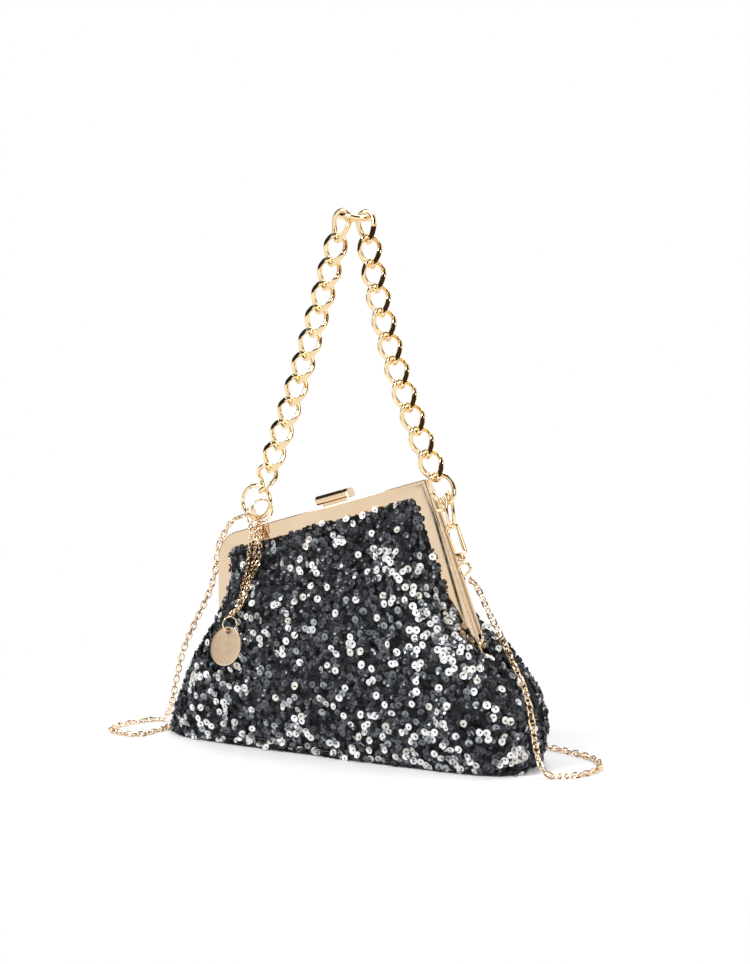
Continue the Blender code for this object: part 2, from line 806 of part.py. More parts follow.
def build_snap_hook(gold):
    here = hook_place()
    path = [(HOOK_BEND, 0, -22.5), (HOOK_BEND, 0, -13.0)]
    for k in range(9):
        angle = math.pi * k / 8
        path.append((HOOK_BEND * math.cos(angle), 0, HOOK_BEND * math.sin(angle) - HOOK_BEND))
    path.append((-HOOK_BEND, 0, -7.5))
    hook = place("snap_hook", tube_mesh("snap_hook", path, HOOK_WIRE, 8, False), gold, here)
    foot = rod("hook_foot", gold, (0, 0, -27.5), (0, 0, -21.5),
               ((0, 2.2), (0.15, 3.0), (0.45, 3.0), (0.5, 2.5), (0.6, 2.5), (0.65, 3.0), (0.9, 5.6), (1, 5.6)))
    foot.matrix_world = here
    joined(hook, foot)
    gate_path = [(-HOOK_BEND, 0, -9.6), (-3.9, 0, -15), HOOK_GATE_PIVOT]
    gate_mesh = tube_mesh("snap_hook_gate", gate_path, HOOK_GATE_WIRE, 8, False)
    gate = place("snap_hook_gate", gate_mesh, gold, here)
    swivel = wire_ring("snap_hook_ring", gold, (0, 0, -SWIVEL_DOWN), SWIVEL_RADIUS, 1.0, (0, 1, 0))
    swivel.matrix_world = here
    oval = []
    for k in range(20):
        angle = 2 * math.pi * k / 20
        x = HOOK_LINK_X + HOOK_LINK_LEAN * (1 - math.sin(angle))
        y = CHAIN_Y + HOOK_LINK_DEPTH * math.cos(angle)
        oval.append((x, y, HOOK_LINK_Z + HOOK_LINK_RISE * math.sin(angle)))
    centre = (HOOK_LINK_X + HOOK_LINK_LEAN, CHAIN_Y, HOOK_LINK_Z)
    place("hook_link", tube_mesh("hook_link", oval, HOOK_LINK_WIRE, 6, True, centre), gold)
    return gate


def shoulder_knots():
    """The chain's lie: over the left corner, down to a loop on the floor, behind the bag,
    a second loop on the right and up over the right end to the snap hook."""
    z = FLOOR_CHAIN_Z
    left = [(-92, -3, 166), (-101, -1.5, 163.5), (-111, -0.5, 155), (-118, -0.5, 143), (-118.6, -1, 128),
            (-121.5, -3, 112), (-128.5, -4, 97), (-138, -4, 80), (-148.5, -3, 60), (-157, -1, 38),
            (-165, 2, 14), (-173, 2, z + 1), (-181, -4, z), (-188, -18, z), (-191, -35, z), (-186, -48, z),
            (-173, -55, z), (-159, -52, z), (-154, -38, z), (-153, 0, z), (-152, 35, z), (-138, 52, z)]
    behind = [(-80, 56, z), (0, 57, z), (80, 56, z)]
    right = [(125, 60, z), (151, 55, z), (169, 46, z), (182, 33, z), (187, 17, z), (183, 0, z), (175, -12, z),
             (165, -20, z + 0.5), (158, -19, 8), (153.5, -17, 20), (151.5, -16, 34), (149.5, -15, 48),
             (146, -15, 62), (139, -14, 76), (130, -13, 91), (118, -11, 108), (106, -8, 123)]
    return left + behind + right


def build_shoulder_chain(rose):
    path = smooth_path(shoulder_knots(), 2)
    place("shoulder_chain", tube_mesh("shoulder_chain", path, CHAIN_WIRE, 5, False), rose)
    ring_at = (SHOULDER_RING_AT[0], CHAIN_Y, SHOULDER_RING_AT[1])
    wire_ring("shoulder_ring", rose, ring_at, SHOULDER_RING_RADIUS, FINE_WIRE, (1, 0, 0), count=16)


# ---------------------------------------------------------------- tassel and tag

def tag_place():
    """Local axes of the tag: Y square to its face, Z up through its hole."""
    return (Matrix.Translation(Vector(TAG_CENTRE) * MM) @ Matrix.Rotation(TAG_TURN, 4, "Z")
            @ Matrix.Rotation(TAG_LEAN, 4, "X"))


def build_tassel(gold, rose):
    facing = (math.sin(TASSEL_RING_TURN), -math.cos(TASSEL_RING_TURN), 0)
    eye = wire_ring("tassel_ring", gold, TASSEL_RING_CENTRE, TASSEL_RING_RADIUS, FINE_WIRE, facing)
    hole = tag_place() @ (Vector((0, 0, TAG_HOLE_UP)) * MM) / MM
    ring_centre = hole + Vector((0.5, 1.0, TAG_RING_RADIUS))
    path = []
    for k in range(19):
        t = k / 18
        x = lerp(TASSEL_TOP[0], ring_centre.x, t)
        z = lerp(TASSEL_TOP[1], ring_centre.z + 8.2, t)
        path.append((x, min(-8.6, -depth(x, z) - 3.4), z))
    chain = place("tassel_chain", tube_mesh("tassel_chain", path, TASSEL_WIRE, 6, False), rose)
    ring = wire_ring("tag_ring", gold, ring_centre, TAG_RING_RADIUS, TAG_RING_WIRE, (0.75, -0.66, 0))
    edge = TAG_RADIUS - TAG_EDGE
    disc = rod("tag_disc", gold, (0, -TAG_HALF, 0), (0, TAG_HALF, 0),
               ((0, edge), (0.3, TAG_RADIUS), (0.7, TAG_RADIUS), (1, edge)), 32)
    disc.matrix_world = tag_place()
    bore = rod("tag_hole", gold, (0, -3, TAG_HOLE_UP), (0, 3, TAG_HOLE_UP),
               ((0, TAG_HOLE_RADIUS), (1, TAG_HOLE_RADIUS)), 14)
    bore.matrix_world = tag_place()
    cut(disc, bore)
    return [eye, chain, ring], disc, hole


# ---------------------------------------------------------------- whole bag

def build_body():
    sequins = material("sequin_fabric", (0.06, 0.065, 0.07), 0.35, 0.6)
    satin = material("lining_satin", (0.02, 0.02, 0.022), 0.5, 0.0)
    board = material("stiffener", (0.3, 0.27, 0.22), 0.8, 0.0)
    layer("front_panel", sequins, front_grid(GAP), -1, FABRIC)
    layer("back_panel_lower", sequins, lower_grid(1, GAP), 1, FABRIC)
    back_grid = upper_grid(1, UPPER_BOTTOM, BACK_ROWS)
    upper = layer("back_panel_upper", sequins, back_grid, 1, FABRIC)
    gusset("gusset_left", sequins, -1, 0.0, FABRIC, GAP, 1)
    gusset("gusset_right", sequins, 1, 0.0, FABRIC, GAP, 1)
    margin = FABRIC + 0.7
    base_slab("base_panel", sequins, 0.0, BASE_FABRIC, margin)
    board_low = BASE_FABRIC + GAP
    base_slab("base_board", board, board_low, BOARD, margin + 1.5)
    lining_low = board_low + BOARD + GAP
    base_slab("lining_base", satin, lining_low, LINING, margin + 1.0)
    wall_low = lining_low + LINING + GAP
    layer("lining_front", satin, lining_grid(front_grid(wall_low), -1), -1, LINING)
    layer("lining_back_lower", satin, lining_grid(lower_grid(1, wall_low), 1), 1, LINING)
    lining_upper = layer("lining_back_upper", satin, lining_grid(back_grid, 1), 1, LINING)
    gusset("lining_side_left", satin, -1, LINING_INSET, LINING, wall_low, 2)
    gusset("lining_side_right", satin, 1, LINING_INSET, LINING, wall_low, 2)
    return upper, lining_upper


def build_bag():
    clear_scene()
    gold = material("champagne_gold", (0.83, 0.68, 0.5), 0.12, 1.0)
    rose = material("chain_gold", (0.8, 0.55, 0.33), 0.2, 1.0)
    steel = material("spring_steel", (0.55, 0.55, 0.55), 0.3, 1.0)
    back_fabric = build_body()
    back = build_frame(gold)
    knob, latch = build_clasp(gold, steel)
    parts = build_handle(gold)
    ring, leaf, gate_end = build_gate_ring(gold)
    build_lugs(gold)
    hook_gate = build_snap_hook(gold)
    build_shoulder_chain(rose)
    tassel, disc, tag_hole = build_tassel(gold, rose)
    left, right = handle_legs()

    opening = pivot("frame_hinge", (0, 0, HINGE_Z))
    for item in (*back_fabric, back, bpy.data.objects["clasp_strike"]):
        hang(item, opening)
    press = pivot("clasp_press", (CLASP_X, 0, top_edge(CLASP_X)))
    hang(knob, press)
    hang(latch, press)
    swing = pivot("handle_swing", (SWING_LEFT[0], CHAIN_Y, SWING_LEFT[1]))
    fold_low = pivot("handle_fold_low", (left[FOLD_LOW][0], CHAIN_Y, left[FOLD_LOW][1]))
    fold_high = pivot("handle_fold_high", (left[FOLD_HIGH][0], CHAIN_Y, left[FOLD_HIGH][1]))
    for item in (ring, *parts["lower"]):
        hang(item, swing)
    for item in parts["middle"]:
        hang(item, fold_low)
    for item in parts["top"]:
        hang(item, fold_high)
    hang(leaf, pivot("gate_pivot", gate_end))
    for item in tassel:
        hang(item, pivot("tassel_pivot_" + item.name, TASSEL_AXIS))
    hang(disc, pivot("tag_pivot", tag_hole))
    hang(hook_gate, pivot("hook_gate_pivot", hook_place() @ (Vector(HOOK_GATE_PIVOT) * MM) / MM))


build_bag()
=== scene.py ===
"""Looks of the evening bag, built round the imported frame. Lengths are in millimetres until a mesh is made."""

import json
import math

import bmesh
import bpy
import numpy as np
from mathutils import Matrix, Vector, noise

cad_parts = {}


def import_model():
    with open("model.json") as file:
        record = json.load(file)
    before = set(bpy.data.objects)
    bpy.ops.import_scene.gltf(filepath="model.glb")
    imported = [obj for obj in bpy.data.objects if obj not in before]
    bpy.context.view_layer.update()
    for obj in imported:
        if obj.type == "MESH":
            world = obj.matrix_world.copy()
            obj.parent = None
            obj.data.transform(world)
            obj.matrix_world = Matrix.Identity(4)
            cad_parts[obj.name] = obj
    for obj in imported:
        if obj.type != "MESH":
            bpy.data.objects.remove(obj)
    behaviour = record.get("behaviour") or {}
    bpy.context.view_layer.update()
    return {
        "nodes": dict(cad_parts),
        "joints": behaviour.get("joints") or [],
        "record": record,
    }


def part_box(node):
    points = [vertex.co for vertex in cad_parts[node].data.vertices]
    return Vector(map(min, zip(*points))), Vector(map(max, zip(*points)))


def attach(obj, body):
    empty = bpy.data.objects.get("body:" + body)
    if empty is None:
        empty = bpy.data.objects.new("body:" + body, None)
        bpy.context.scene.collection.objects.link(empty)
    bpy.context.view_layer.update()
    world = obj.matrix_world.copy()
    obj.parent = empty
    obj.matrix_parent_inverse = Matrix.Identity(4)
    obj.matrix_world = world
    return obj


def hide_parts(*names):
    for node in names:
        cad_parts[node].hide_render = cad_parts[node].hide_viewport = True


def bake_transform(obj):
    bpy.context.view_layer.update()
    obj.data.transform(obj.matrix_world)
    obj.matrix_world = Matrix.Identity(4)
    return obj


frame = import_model()

MM = 0.001
SEED = 11
ROOT = "root"
BACK = "frame_back_half"
BENT = "bent"
GOLD = "champagne_gold"
FINE = "fine_chain_gold"


def box_mm(node):
    low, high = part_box(node)
    return np.array(low) / MM, np.array(high) / MM


def placed(item, body, slot, *nodes):
    """Rides a piece on a body, or bakes its placement into its mesh for the bent body, and hides its CAD nodes. The
    slot is not used.
    """
    if body == BENT:
        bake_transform(item)
    else:
        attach(item, body)
    if nodes:
        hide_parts(*nodes)


# ---------------------------------------------------------------- materials

def fill(node, values):
    """Sets a node's own settings and, for names it doesn't have, its inputs' values."""
    for key, value in values.items():
        if hasattr(node, key):
            setattr(node, key, value)
        else:
            node.inputs[key.replace("_", " ")].default_value = value


def add(tree, kind, **values):
    node = tree.nodes.new(kind)
    fill(node, values)
    return node


def new_material(name, **values):
    made = bpy.data.materials.new(name)
    made.use_nodes = True
    shader = made.node_tree.nodes["Principled BSDF"]
    fill(shader, values)
    return made, made.node_tree, shader


def noise_of(tree, scale, detail):
    place = tree.nodes.new("ShaderNodeTexCoord")
    made = add(tree, "ShaderNodeTexNoise", Scale=scale, Detail=detail)
    tree.links.new(place.outputs["Object"], made.inputs["Vector"])
    return made.outputs["Fac"]


def maths(tree, operation, one, two):
    made = add(tree, "ShaderNodeMath", operation=operation)
    tree.links.new(one, made.inputs[0])
    tree.links.new(two, made.inputs[1])
    return made.outputs[0]


def mixed(tree, share, one, two):
    made = tree.nodes.new("ShaderNodeMixShader")
    for source, target in ((share, "Fac"), (one.outputs[0], 1), (two.outputs[0], 2)):
        tree.links.new(source, made.inputs[target])
    return made


def ramp(tree, source, stops, target):
    """Turns a value into a colour by (place, colour) stops and leads it to an input."""
    made = tree.nodes.new("ShaderNodeValToRGB")
    elements = made.color_ramp.elements
    while len(elements) < len(stops):
        elements.new(0.5)
    for element, (at, colour) in zip(elements, stops):
        element.position = at
        element.color = (*colour, 1.0)
    tree.links.new(source, made.inputs["Fac"])
    tree.links.new(made.outputs["Color"], target)


def bumped(tree, shader, height, strength, distance):
    lift = add(tree, "ShaderNodeBump", Strength=strength, Distance=distance)
    tree.links.new(height, lift.inputs["Height"])
    tree.links.new(lift.outputs["Normal"], shader.inputs["Normal"])


def metal(name, colour, dark, rough_low, rough_high, bump):
    """Plated metal: slight drift of colour, faint polishing marks and uneven gloss."""
    made, tree, shader = new_material(name, Metallic=1.0)
    ramp(tree, noise_of(tree, 38.0, 4.0), ((0.3, dark), (0.7, colour)), shader.inputs["Base Color"])
    gloss = ((0.3, (rough_low,) * 3), (0.75, (rough_high,) * 3))
    ramp(tree, noise_of(tree, 260.0, 6.0), gloss, shader.inputs["Roughness"])
    bumped(tree, shader, noise_of(tree, 900.0, 3.0), bump, 0.0002)
    return made


def sequin_material(name, low, high, metallic, rough):
    """A glossy sequin: each one a little lighter or darker than its neighbours."""
    made, tree, shader = new_material(name, Metallic=metallic, Roughness=rough)
    place = tree.nodes.new("ShaderNodeNewGeometry")
    ramp(tree, place.outputs["Random Per Island"], ((0.0, low), (1.0, high)), shader.inputs["Base Color"])
    bumped(tree, shader, noise_of(tree, 420.0, 2.0), 0.25, 0.0003)
    return made


def woven(name, low, high, scale, sheen, rough, bump):
    """Woven cloth: two crossed waves for the threads and a soft sheen."""
    made, tree, shader = new_material(name, Roughness=rough, Sheen_Weight=sheen)
    place = tree.nodes.new("ShaderNodeTexCoord")
    waves = []
    for direction in ("X", "Z"):
        wave = add(tree, "ShaderNodeTexWave", bands_direction=direction, Scale=scale, Distortion=1.5, Detail=2.0)
        tree.links.new(place.outputs["Object"], wave.inputs["Vector"])
        waves.append(wave.outputs["Fac"])
    threads = maths(tree, "ADD", maths(tree, "MULTIPLY", *waves), noise_of(tree, 700.0, 5.0))
    ramp(tree, threads, ((0.45, low), (1.0, high)), shader.inputs["Base Color"])
    bumped(tree, shader, threads, bump, 0.0006)
    return made


champagne = metal("champagne_gold", (0.83, 0.655, 0.47), (0.80, 0.61, 0.41), 0.06, 0.13, 0.02)
handle_gold = metal("handle_gold", (0.96, 0.78, 0.51), (0.92, 0.70, 0.40), 0.02, 0.06, 0.01)
rose_gold = metal("fine_chain_gold", (1.0, 0.82, 0.60), (0.95, 0.70, 0.45), 0.05, 0.12, 0.02)
tag_gold = metal("tag_gold", (0.78, 0.62, 0.46), (0.73, 0.56, 0.4), 0.2, 0.32, 0.12)
steel = metal("spring_steel", (0.55, 0.55, 0.56), (0.46, 0.46, 0.47), 0.2, 0.34, 0.06)
# The grey, silver and cream sequin materials are lighter copies of the dark sequin: painted highlights for sequins
# that face the light.
dark_sequin = sequin_material("sequin_dark", (0.02, 0.021, 0.024), (0.15, 0.16, 0.18), 0.7, 0.32)
dim_glint_sequin = sequin_material("sequin_dim_glint", (0.16, 0.175, 0.20), (0.42, 0.45, 0.48), 0.8, 0.22)
glint_sequin = sequin_material("sequin_glint", (0.80, 0.81, 0.81), (1.0, 1.0, 0.98), 0.3, 0.3)
warm_glint_sequin = sequin_material("sequin_warm_glint", (0.62, 0.60, 0.54), (0.85, 0.82, 0.74), 0.4, 0.32)
# Near-black painted shade for the small disc sunk in each sequin's hole.
hole_shade = woven("sequin_hole_shade", (0.002, 0.002, 0.002), (0.012, 0.012, 0.013), 900.0, 0.0, 0.9, 0.2)
backing = woven("sequin_backing", (0.004, 0.004, 0.005), (0.035, 0.04, 0.046), 420.0, 0.2, 0.85, 0.8)
satin = woven("lining_satin", (0.008, 0.008, 0.010), (0.035, 0.035, 0.04), 620.0, 0.35, 0.42, 0.25)
base_cloth = woven("base_cloth", (0.008, 0.008, 0.009), (0.05, 0.052, 0.056), 300.0, 0.2, 0.8, 0.7)
board = woven("board_fibre", (0.20, 0.17, 0.12), (0.36, 0.31, 0.24), 180.0, 0.0, 0.9, 0.4)


# ---------------------------------------------------------------- mesh helpers

def shaded(mesh, degrees=38):
    mesh.shade_smooth()
    mesh.set_sharp_from_angle(angle=math.radians(degrees))


def build_mesh(name, points, quads, *materials, indices=None, smooth=True):
    """An object from points in millimetres and quads."""
    mesh = bpy.data.meshes.new(name)
    points, quads = np.asarray(points, float) * MM, np.asarray(quads, np.int32)
    mesh.vertices.add(len(points))
    mesh.vertices.foreach_set("co", points.astype(np.float32).ravel())
    mesh.loops.add(quads.size)
    mesh.loops.foreach_set("vertex_index", quads.ravel())
    mesh.polygons.add(len(quads))
    mesh.polygons.foreach_set("loop_start", np.arange(0, quads.size, quads.shape[1], dtype=np.int32))
    if indices is not None:
        mesh.polygons.foreach_set("material_index", np.asarray(indices, np.int32))
    mesh.update(calc_edges=True)
    for item in materials:
        mesh.materials.append(item)
    if smooth:
        shaded(mesh)
    made = bpy.data.objects.new(name, mesh)
    bpy.context.scene.collection.objects.link(made)
    return made


def grid_quads(rows, columns, closed_rows=False, closed_columns=False):
    r = np.arange(rows if closed_rows else rows - 1)
    c = np.arange(columns if closed_columns else columns - 1)
    rr, cc = np.meshgrid(r, c, indexing="ij")
    rn, cn = (rr + 1) % rows, (cc + 1) % columns
    corners = [rr * columns + cc, rr * columns + cn, rn * columns + cn, rn * columns + cc]
    return np.stack(corners, -1).reshape(-1, 4)


def sheet(name, grid, finish, flip=False):
    """A grid of points as one sheet; flip turns its faces over."""
    quads = grid_quads(*grid.shape[:2])
    return build_mesh(name, grid.reshape(-1, 3), quads[:, ::-1] if flip else quads, finish)


def full_turn(count, shift=0.0):
    return 2 * math.pi * (np.arange(count) + shift) / count


def unit(rows):
    return rows / np.linalg.norm(rows, axis=-1, keepdims=True)


def square_to(axis):
    """A direction square to an axis."""
    across = np.cross(axis, (0.0, 0.0, 1.0))
    if np.linalg.norm(across) < 0.2:
        across = np.cross(axis, (1.0, 0.0, 0.0))
    return unit(across)


def swept(path, across, up, radii, angle):
    """The points of a round section at each place of a path."""
    ring = np.cos(angle)[:, None] * across[..., None, :] + np.sin(angle)[:, None] * up[..., None, :]
    return (path[:, None] + radii[:, None, None] * ring).reshape(-1, 3)


def tube_arrays(path, radius, sides, closed):
    """Points and quads of a round wire along a path; its section is carried without twist."""
    path = np.asarray(path, float)
    count = len(path)
    if closed:
        tangent = unit(np.roll(path, -1, 0) - np.roll(path, 1, 0))
        across = path - path.mean(0)
        across = unit(across - (across * tangent).sum(1)[:, None] * tangent)
    else:
        tangent = unit(np.gradient(path, axis=0))
        across = np.zeros_like(path)
        across[0] = square_to(tangent[0])
        for k in range(1, count):
            across[k] = unit(across[k - 1] - across[k - 1].dot(tangent[k]) * tangent[k])
    radii = np.broadcast_to(np.asarray(radius, float), (count,))
    points = swept(path, across, np.cross(tangent, across), radii, full_turn(sides, 0.5))
    return points, grid_quads(count, sides, closed, True)


def tube(name, path, radius, sides, closed, finish):
    points, quads = tube_arrays(path, radius, sides, closed)
    made = build_mesh(name, points, quads, finish)
    if not closed:
        cap(made, sides)
    return made


def cap(item, sides):
    """Closes the two ends of a tube."""
    edit = bmesh.new()
    edit.from_mesh(item.data)
    edit.verts.ensure_lookup_table()
    corners = list(edit.verts)
    edit.faces.new(corners[:sides])
    edit.faces.new(corners[-sides:][::-1])
    bmesh.ops.recalc_face_normals(edit, faces=edit.faces)
    edit.to_mesh(item.data)
    edit.free()
    shaded(item.data)


def circle(centre, radius, normal, count=48, start=0.0, end=2 * math.pi, zero=(0, 0, 1)):
    """Points round a circle, or along an arc of it measured from the zero direction."""
    normal = unit(np.asarray(normal, float))
    first = unit(np.asarray(zero, float) - np.dot(zero, normal) * normal)
    second = np.cross(normal, first)
    full = abs(end - start - 2 * math.pi) < 1e-6
    angle = np.linspace(start, end, count, endpoint=not full)[:, None]
    return np.asarray(centre, float) + radius * (np.cos(angle) * first + np.sin(angle) * second)


def turned(name, start, end, profile, finish, sides=40):
    """A solid turned about the line from start to end: profile is (fraction, radius) pairs."""
    start, end = np.asarray(start, float), np.asarray(end, float)
    axis = unit(end - start)
    across = square_to(axis)
    shares, radii = np.array(profile, float).T
    points = swept(start + (end - start) * shares[:, None], across, np.cross(axis, across), radii, full_turn(sides))
    made = build_mesh(name, points, grid_quads(len(profile), sides, False, True), finish)
    cap(made, sides)
    return made


def merged(name, parts, finish):
    """One object from several (points, quads) pairs."""
    shifts = np.cumsum([0] + [len(points) for points, _ in parts])
    quads = [quads + shift for (_, quads), shift in zip(parts, shifts)]
    return build_mesh(name, np.concatenate([points for points, _ in parts]), np.concatenate(quads), finish)


def moved(points, matrix):
    matrix = np.asarray(matrix)
    return np.asarray(points) @ matrix[:3, :3].T + matrix[:3, 3]


# ---------------------------------------------------------------- frame outline

LEFT = box_mm("frame_front")[0][0]
HINGE_Z = frame["joints"][0]["pos_m"][2] / MM
HINGE_RIGHT = 106.2
CORNER = (62.5, 199.5)
SLOPE = math.radians(15.4)
LEFT_RADIUS = 22.0
BAND = 12.5
HALF = 5.7
WALL = 1.25


def frame_outline(start_z, steps=28):
    """The frame's outer line as (x, z) points, from a height on the left over to the same on the right."""
    tangent_x = CORNER[0] - CORNER[1] / math.tan(SLOPE)
    turn = math.pi / 2 - SLOPE
    corner_z = (LEFT - tangent_x) * math.tan(SLOPE)
    leg = LEFT_RADIUS * math.tan(turn / 2)
    centre = (LEFT + LEFT_RADIUS, corner_z - leg)
    points = [(LEFT, start_z)]
    for k in range(steps + 1):
        angle = math.pi - turn * k / steps
        points.append((centre[0] + LEFT_RADIUS * math.cos(angle),
                       centre[1] + LEFT_RADIUS * math.sin(angle)))
    points.append(CORNER)
    lean = (HINGE_RIGHT - CORNER[0]) / (CORNER[1] - HINGE_Z)
    points.append((HINGE_RIGHT + (HINGE_Z - start_z) * lean, start_z))
    return np.array(points)


def inset(points, distance):
    """The outline moved inwards; its ends keep their height."""
    edges = unit(np.diff(points, axis=0))
    normals = np.stack([edges[:, 1], -edges[:, 0]], 1)
    before = np.vstack([normals[:1], normals])
    after = np.vstack([normals, normals[-1:]])
    mean = (before + after) / 2
    made = points + distance * mean / (mean ** 2).sum(1)[:, None]
    made[0, 1] = points[0, 1]
    reach = (points[-1, 1] - made[-2, 1]) / (made[-1, 1] - made[-2, 1])
    made[-1] = made[-2] + (made[-1] - made[-2]) * reach
    return made


def along(points, fractions):
    """Points at fractions of a line's length."""
    lengths = np.concatenate([[0], np.cumsum(np.linalg.norm(np.diff(points, axis=0), axis=1))])
    at = np.asarray(fractions) * lengths[-1]
    return np.stack([np.interp(at, lengths, points[:, k]) for k in range(points.shape[1])], -1)


def top_edge(x):
    return CORNER[1] - (CORNER[0] - x) * math.tan(SLOPE)


# ---------------------------------------------------------------- soft body

COLUMNS = 150
LOWER_ROWS = 30
UPPER_ROWS = 44
FLOOR_GAP = 0.6
SHOULDER = 75.0
RIM_FOOT = 80.0
LINING_INSET = 2.6
LEFT_SIDE = {
    -1: ((0, -143), (8, -150.5), (18, -150), (32, -146), (50, -140), (63, -134), (75, -124)),
    1: ((0, -141), (8, -148.5), (18, -149.5), (32, -145.5), (50, -139), (63, -132), (75, -121)),
}
RIGHT_SIDE = {
    -1: ((0, 139), (8, 145.5), (18, 149), (32, 148.5), (50, 143), (63, 133), (75, 118)),
    1: ((0, 141), (8, 147.5), (18, 151), (32, 151), (50, 147), (63, 140), (75, 129)),
}
DEPTHS = ((0, 37.5), (8, 41.0), (25, 43.5), (50, 42), (75, 38))
SQUARENESS = ((0, 5.0), (20, 4.4), (60, 3.4))


def soft(z, knots):
    """A smooth curve through (height, value) knots."""
    heights, values = zip(*knots)
    return sum(np.interp(np.asarray(z, float) + shift, heights, values) for shift in (-7, -3.5, 0, 3.5, 7)) / 5


def section(side, z, turn):
    """The front (side -1) or back (side 1) half of the body's outline at a height."""
    left = soft(z, LEFT_SIDE[side])
    right = soft(z, RIGHT_SIDE[side])
    power = 2 / np.interp(z, *zip(*SQUARENESS))
    cosine = np.cos(turn)
    x = (left + right) / 2 - (right - left) / 2 * np.sign(cosine) * np.abs(cosine) ** power
    y = side * soft(z, DEPTHS) * np.abs(np.sin(turn)) ** power
    return np.stack([x, y, np.full_like(x, z)], -1)


def rim_path(side):
    """Where the cloth meets the inner edge of the frame, from the left hinge over to the right."""
    edge = inset(frame_outline(RIM_FOOT), BAND + 0.9)
    path = np.column_stack([edge[:, 0], np.full(len(edge), side * 4.3), edge[:, 1]])
    start, end = ((x, side * 1.0, SHOULDER + 0.5) for x in (LEFT + 3.0, HINGE_RIGHT - 3.0))
    return np.vstack([start, path, end])


def smoothed(rows, reach):
    """Each row averaged with its neighbours, so that directions turn gently round a corner."""
    padded = np.vstack([rows[:1]] * reach + [rows] + [rows[-1:]] * reach)
    return sum(padded[k:k + len(rows)] for k in range(2 * reach + 1)) / (2 * reach + 1)


def soft_grid(side):
    """One side of the bag: sections up to the shoulder, then curves that lean in and end on the rim."""
    turn = np.linspace(0, math.pi, COLUMNS + 1)
    rows = [section(side, z, turn) for z in np.linspace(FLOOR_GAP, SHOULDER, LOWER_ROWS)]
    low = rows[-1]
    rise = (section(side, SHOULDER, turn) - section(side, SHOULDER - 4, turn)) / 4
    path = rim_path(side)
    share = np.linspace(0, 1, COLUMNS + 1)
    rim = along(path, share)
    ahead = unit(along(path, np.clip(share + 0.004, 0, 1)) - along(path, np.clip(share - 0.004, 0, 1)))
    ahead = unit(smoothed(ahead, 7))
    inward = np.stack([ahead[:, 2], np.zeros(COLUMNS + 1), -ahead[:, 0]], -1)
    span = np.linalg.norm(rim - low, axis=1)[:, None]
    lean = np.clip(span * 0.22, 3.0, 24.0)
    push = np.clip(span * 0.36, 3.0, 15.0)
    one = low + rise * (span * 0.36)
    two = rim + inward * lean + np.array([0, side, 0]) * push
    for k in range(1, UPPER_ROWS + 1):
        t = k / UPPER_ROWS
        rows.append((1 - t) ** 3 * low + 3 * (1 - t) ** 2 * t * one + 3 * (1 - t) * t * t * two + t ** 3 * rim)
    return folded(np.array(rows), side)


def grid_normals(grid, side):
    """Outward directions at a grid's points."""
    normal = np.cross(np.gradient(grid, axis=1), np.gradient(grid, axis=0)) * -side
    return normal / np.maximum(np.linalg.norm(normal, axis=2)[..., None], 1e-9)


def folded(grid, side):
    """Wide and narrow soft dents, fading out at the base, the rim and the sides."""
    rows, columns = grid.shape[:2]
    lift = np.zeros((rows, columns))
    for r in range(rows):
        for c in range(columns):
            x, y, z = grid[r, c]
            wide = noise.noise(Vector((x * 0.016 + 3.1, y * 0.02 + side * 7, z * 0.022)))
            mid = noise.noise(Vector((x * 0.045, y * 0.05 + side * 5, z * 0.03 + 9)))
            lift[r, c] = 2.6 * wide + 1.3 * mid
    r, c = np.arange(rows), np.arange(columns)
    fade_r = np.minimum(r / 5, (rows - 1 - r) / 9).clip(0, 1)[:, None]
    fade_c = (np.minimum(c, columns - 1 - c)[None, :] / 8).clip(0, 1)
    return grid + grid_normals(grid, side) * (lift * fade_r * fade_c)[..., None]


DRAPE_STEPS = 16
DRAPE_CAP = 6.0
DRAPE = dict(quality=6, mass=0.3, vertex_group_mass="pin", tension_stiffness=20, compression_stiffness=12,
             shear_stiffness=6, bending_stiffness=2.5, shrink_min=-0.035, use_pressure=False)


def drape(grid):
    """Lets the cloth settle: pinned in the frame, at the seams and at the base, with a little slack.
    Moves are capped so that it stays clear of the frame."""
    rows, columns = grid.shape[:2]
    item = sheet("drape", grid, backing)
    held = [r * columns + c for r in range(rows) for c in range(columns)
            if r in (0, rows - 1, rows - 2) or c in (0, columns - 1)]
    item.vertex_groups.new(name="pin").add(held, 1.0, "REPLACE")
    cloth = item.modifiers.new("cloth", "CLOTH")
    fill(cloth.settings, DRAPE)
    cloth.settings.effector_weights.gravity = 0.6
    cloth.collision_settings.use_collision = False
    cloth.collision_settings.use_self_collision = False
    cloth.point_cache.frame_start = 1
    cloth.point_cache.frame_end = DRAPE_STEPS
    scene = bpy.context.scene
    for step in range(1, DRAPE_STEPS + 1):
        scene.frame_set(step)
    evaluated = item.evaluated_get(bpy.context.evaluated_depsgraph_get())
    found = np.zeros(grid.size, np.float32)
    evaluated.data.vertices.foreach_get("co", found)
    scene.frame_set(1)
    bpy.data.objects.remove(item)
    move = found.reshape(grid.shape).astype(float) / MM - grid
    size = np.linalg.norm(move, axis=2)[..., None]
    return grid + move * np.minimum(1.0, DRAPE_CAP / np.maximum(size, 1e-9))


def tucked(grid, side):
    """The grid with one more row, held behind the band of the frame."""
    last = grid[-1].copy()
    rim = rim_path(side)
    held = inset(frame_outline(RIM_FOOT), 7.0)
    behind = np.column_stack([held[:, 0], np.full(len(held), side * 3.9), held[:, 1]])
    edge = along(np.vstack([rim[:1], behind, rim[-1:]]), np.linspace(0, 1, COLUMNS + 1))
    last[2:-2] = edge[2:-2]
    return np.concatenate([grid, last[None]])


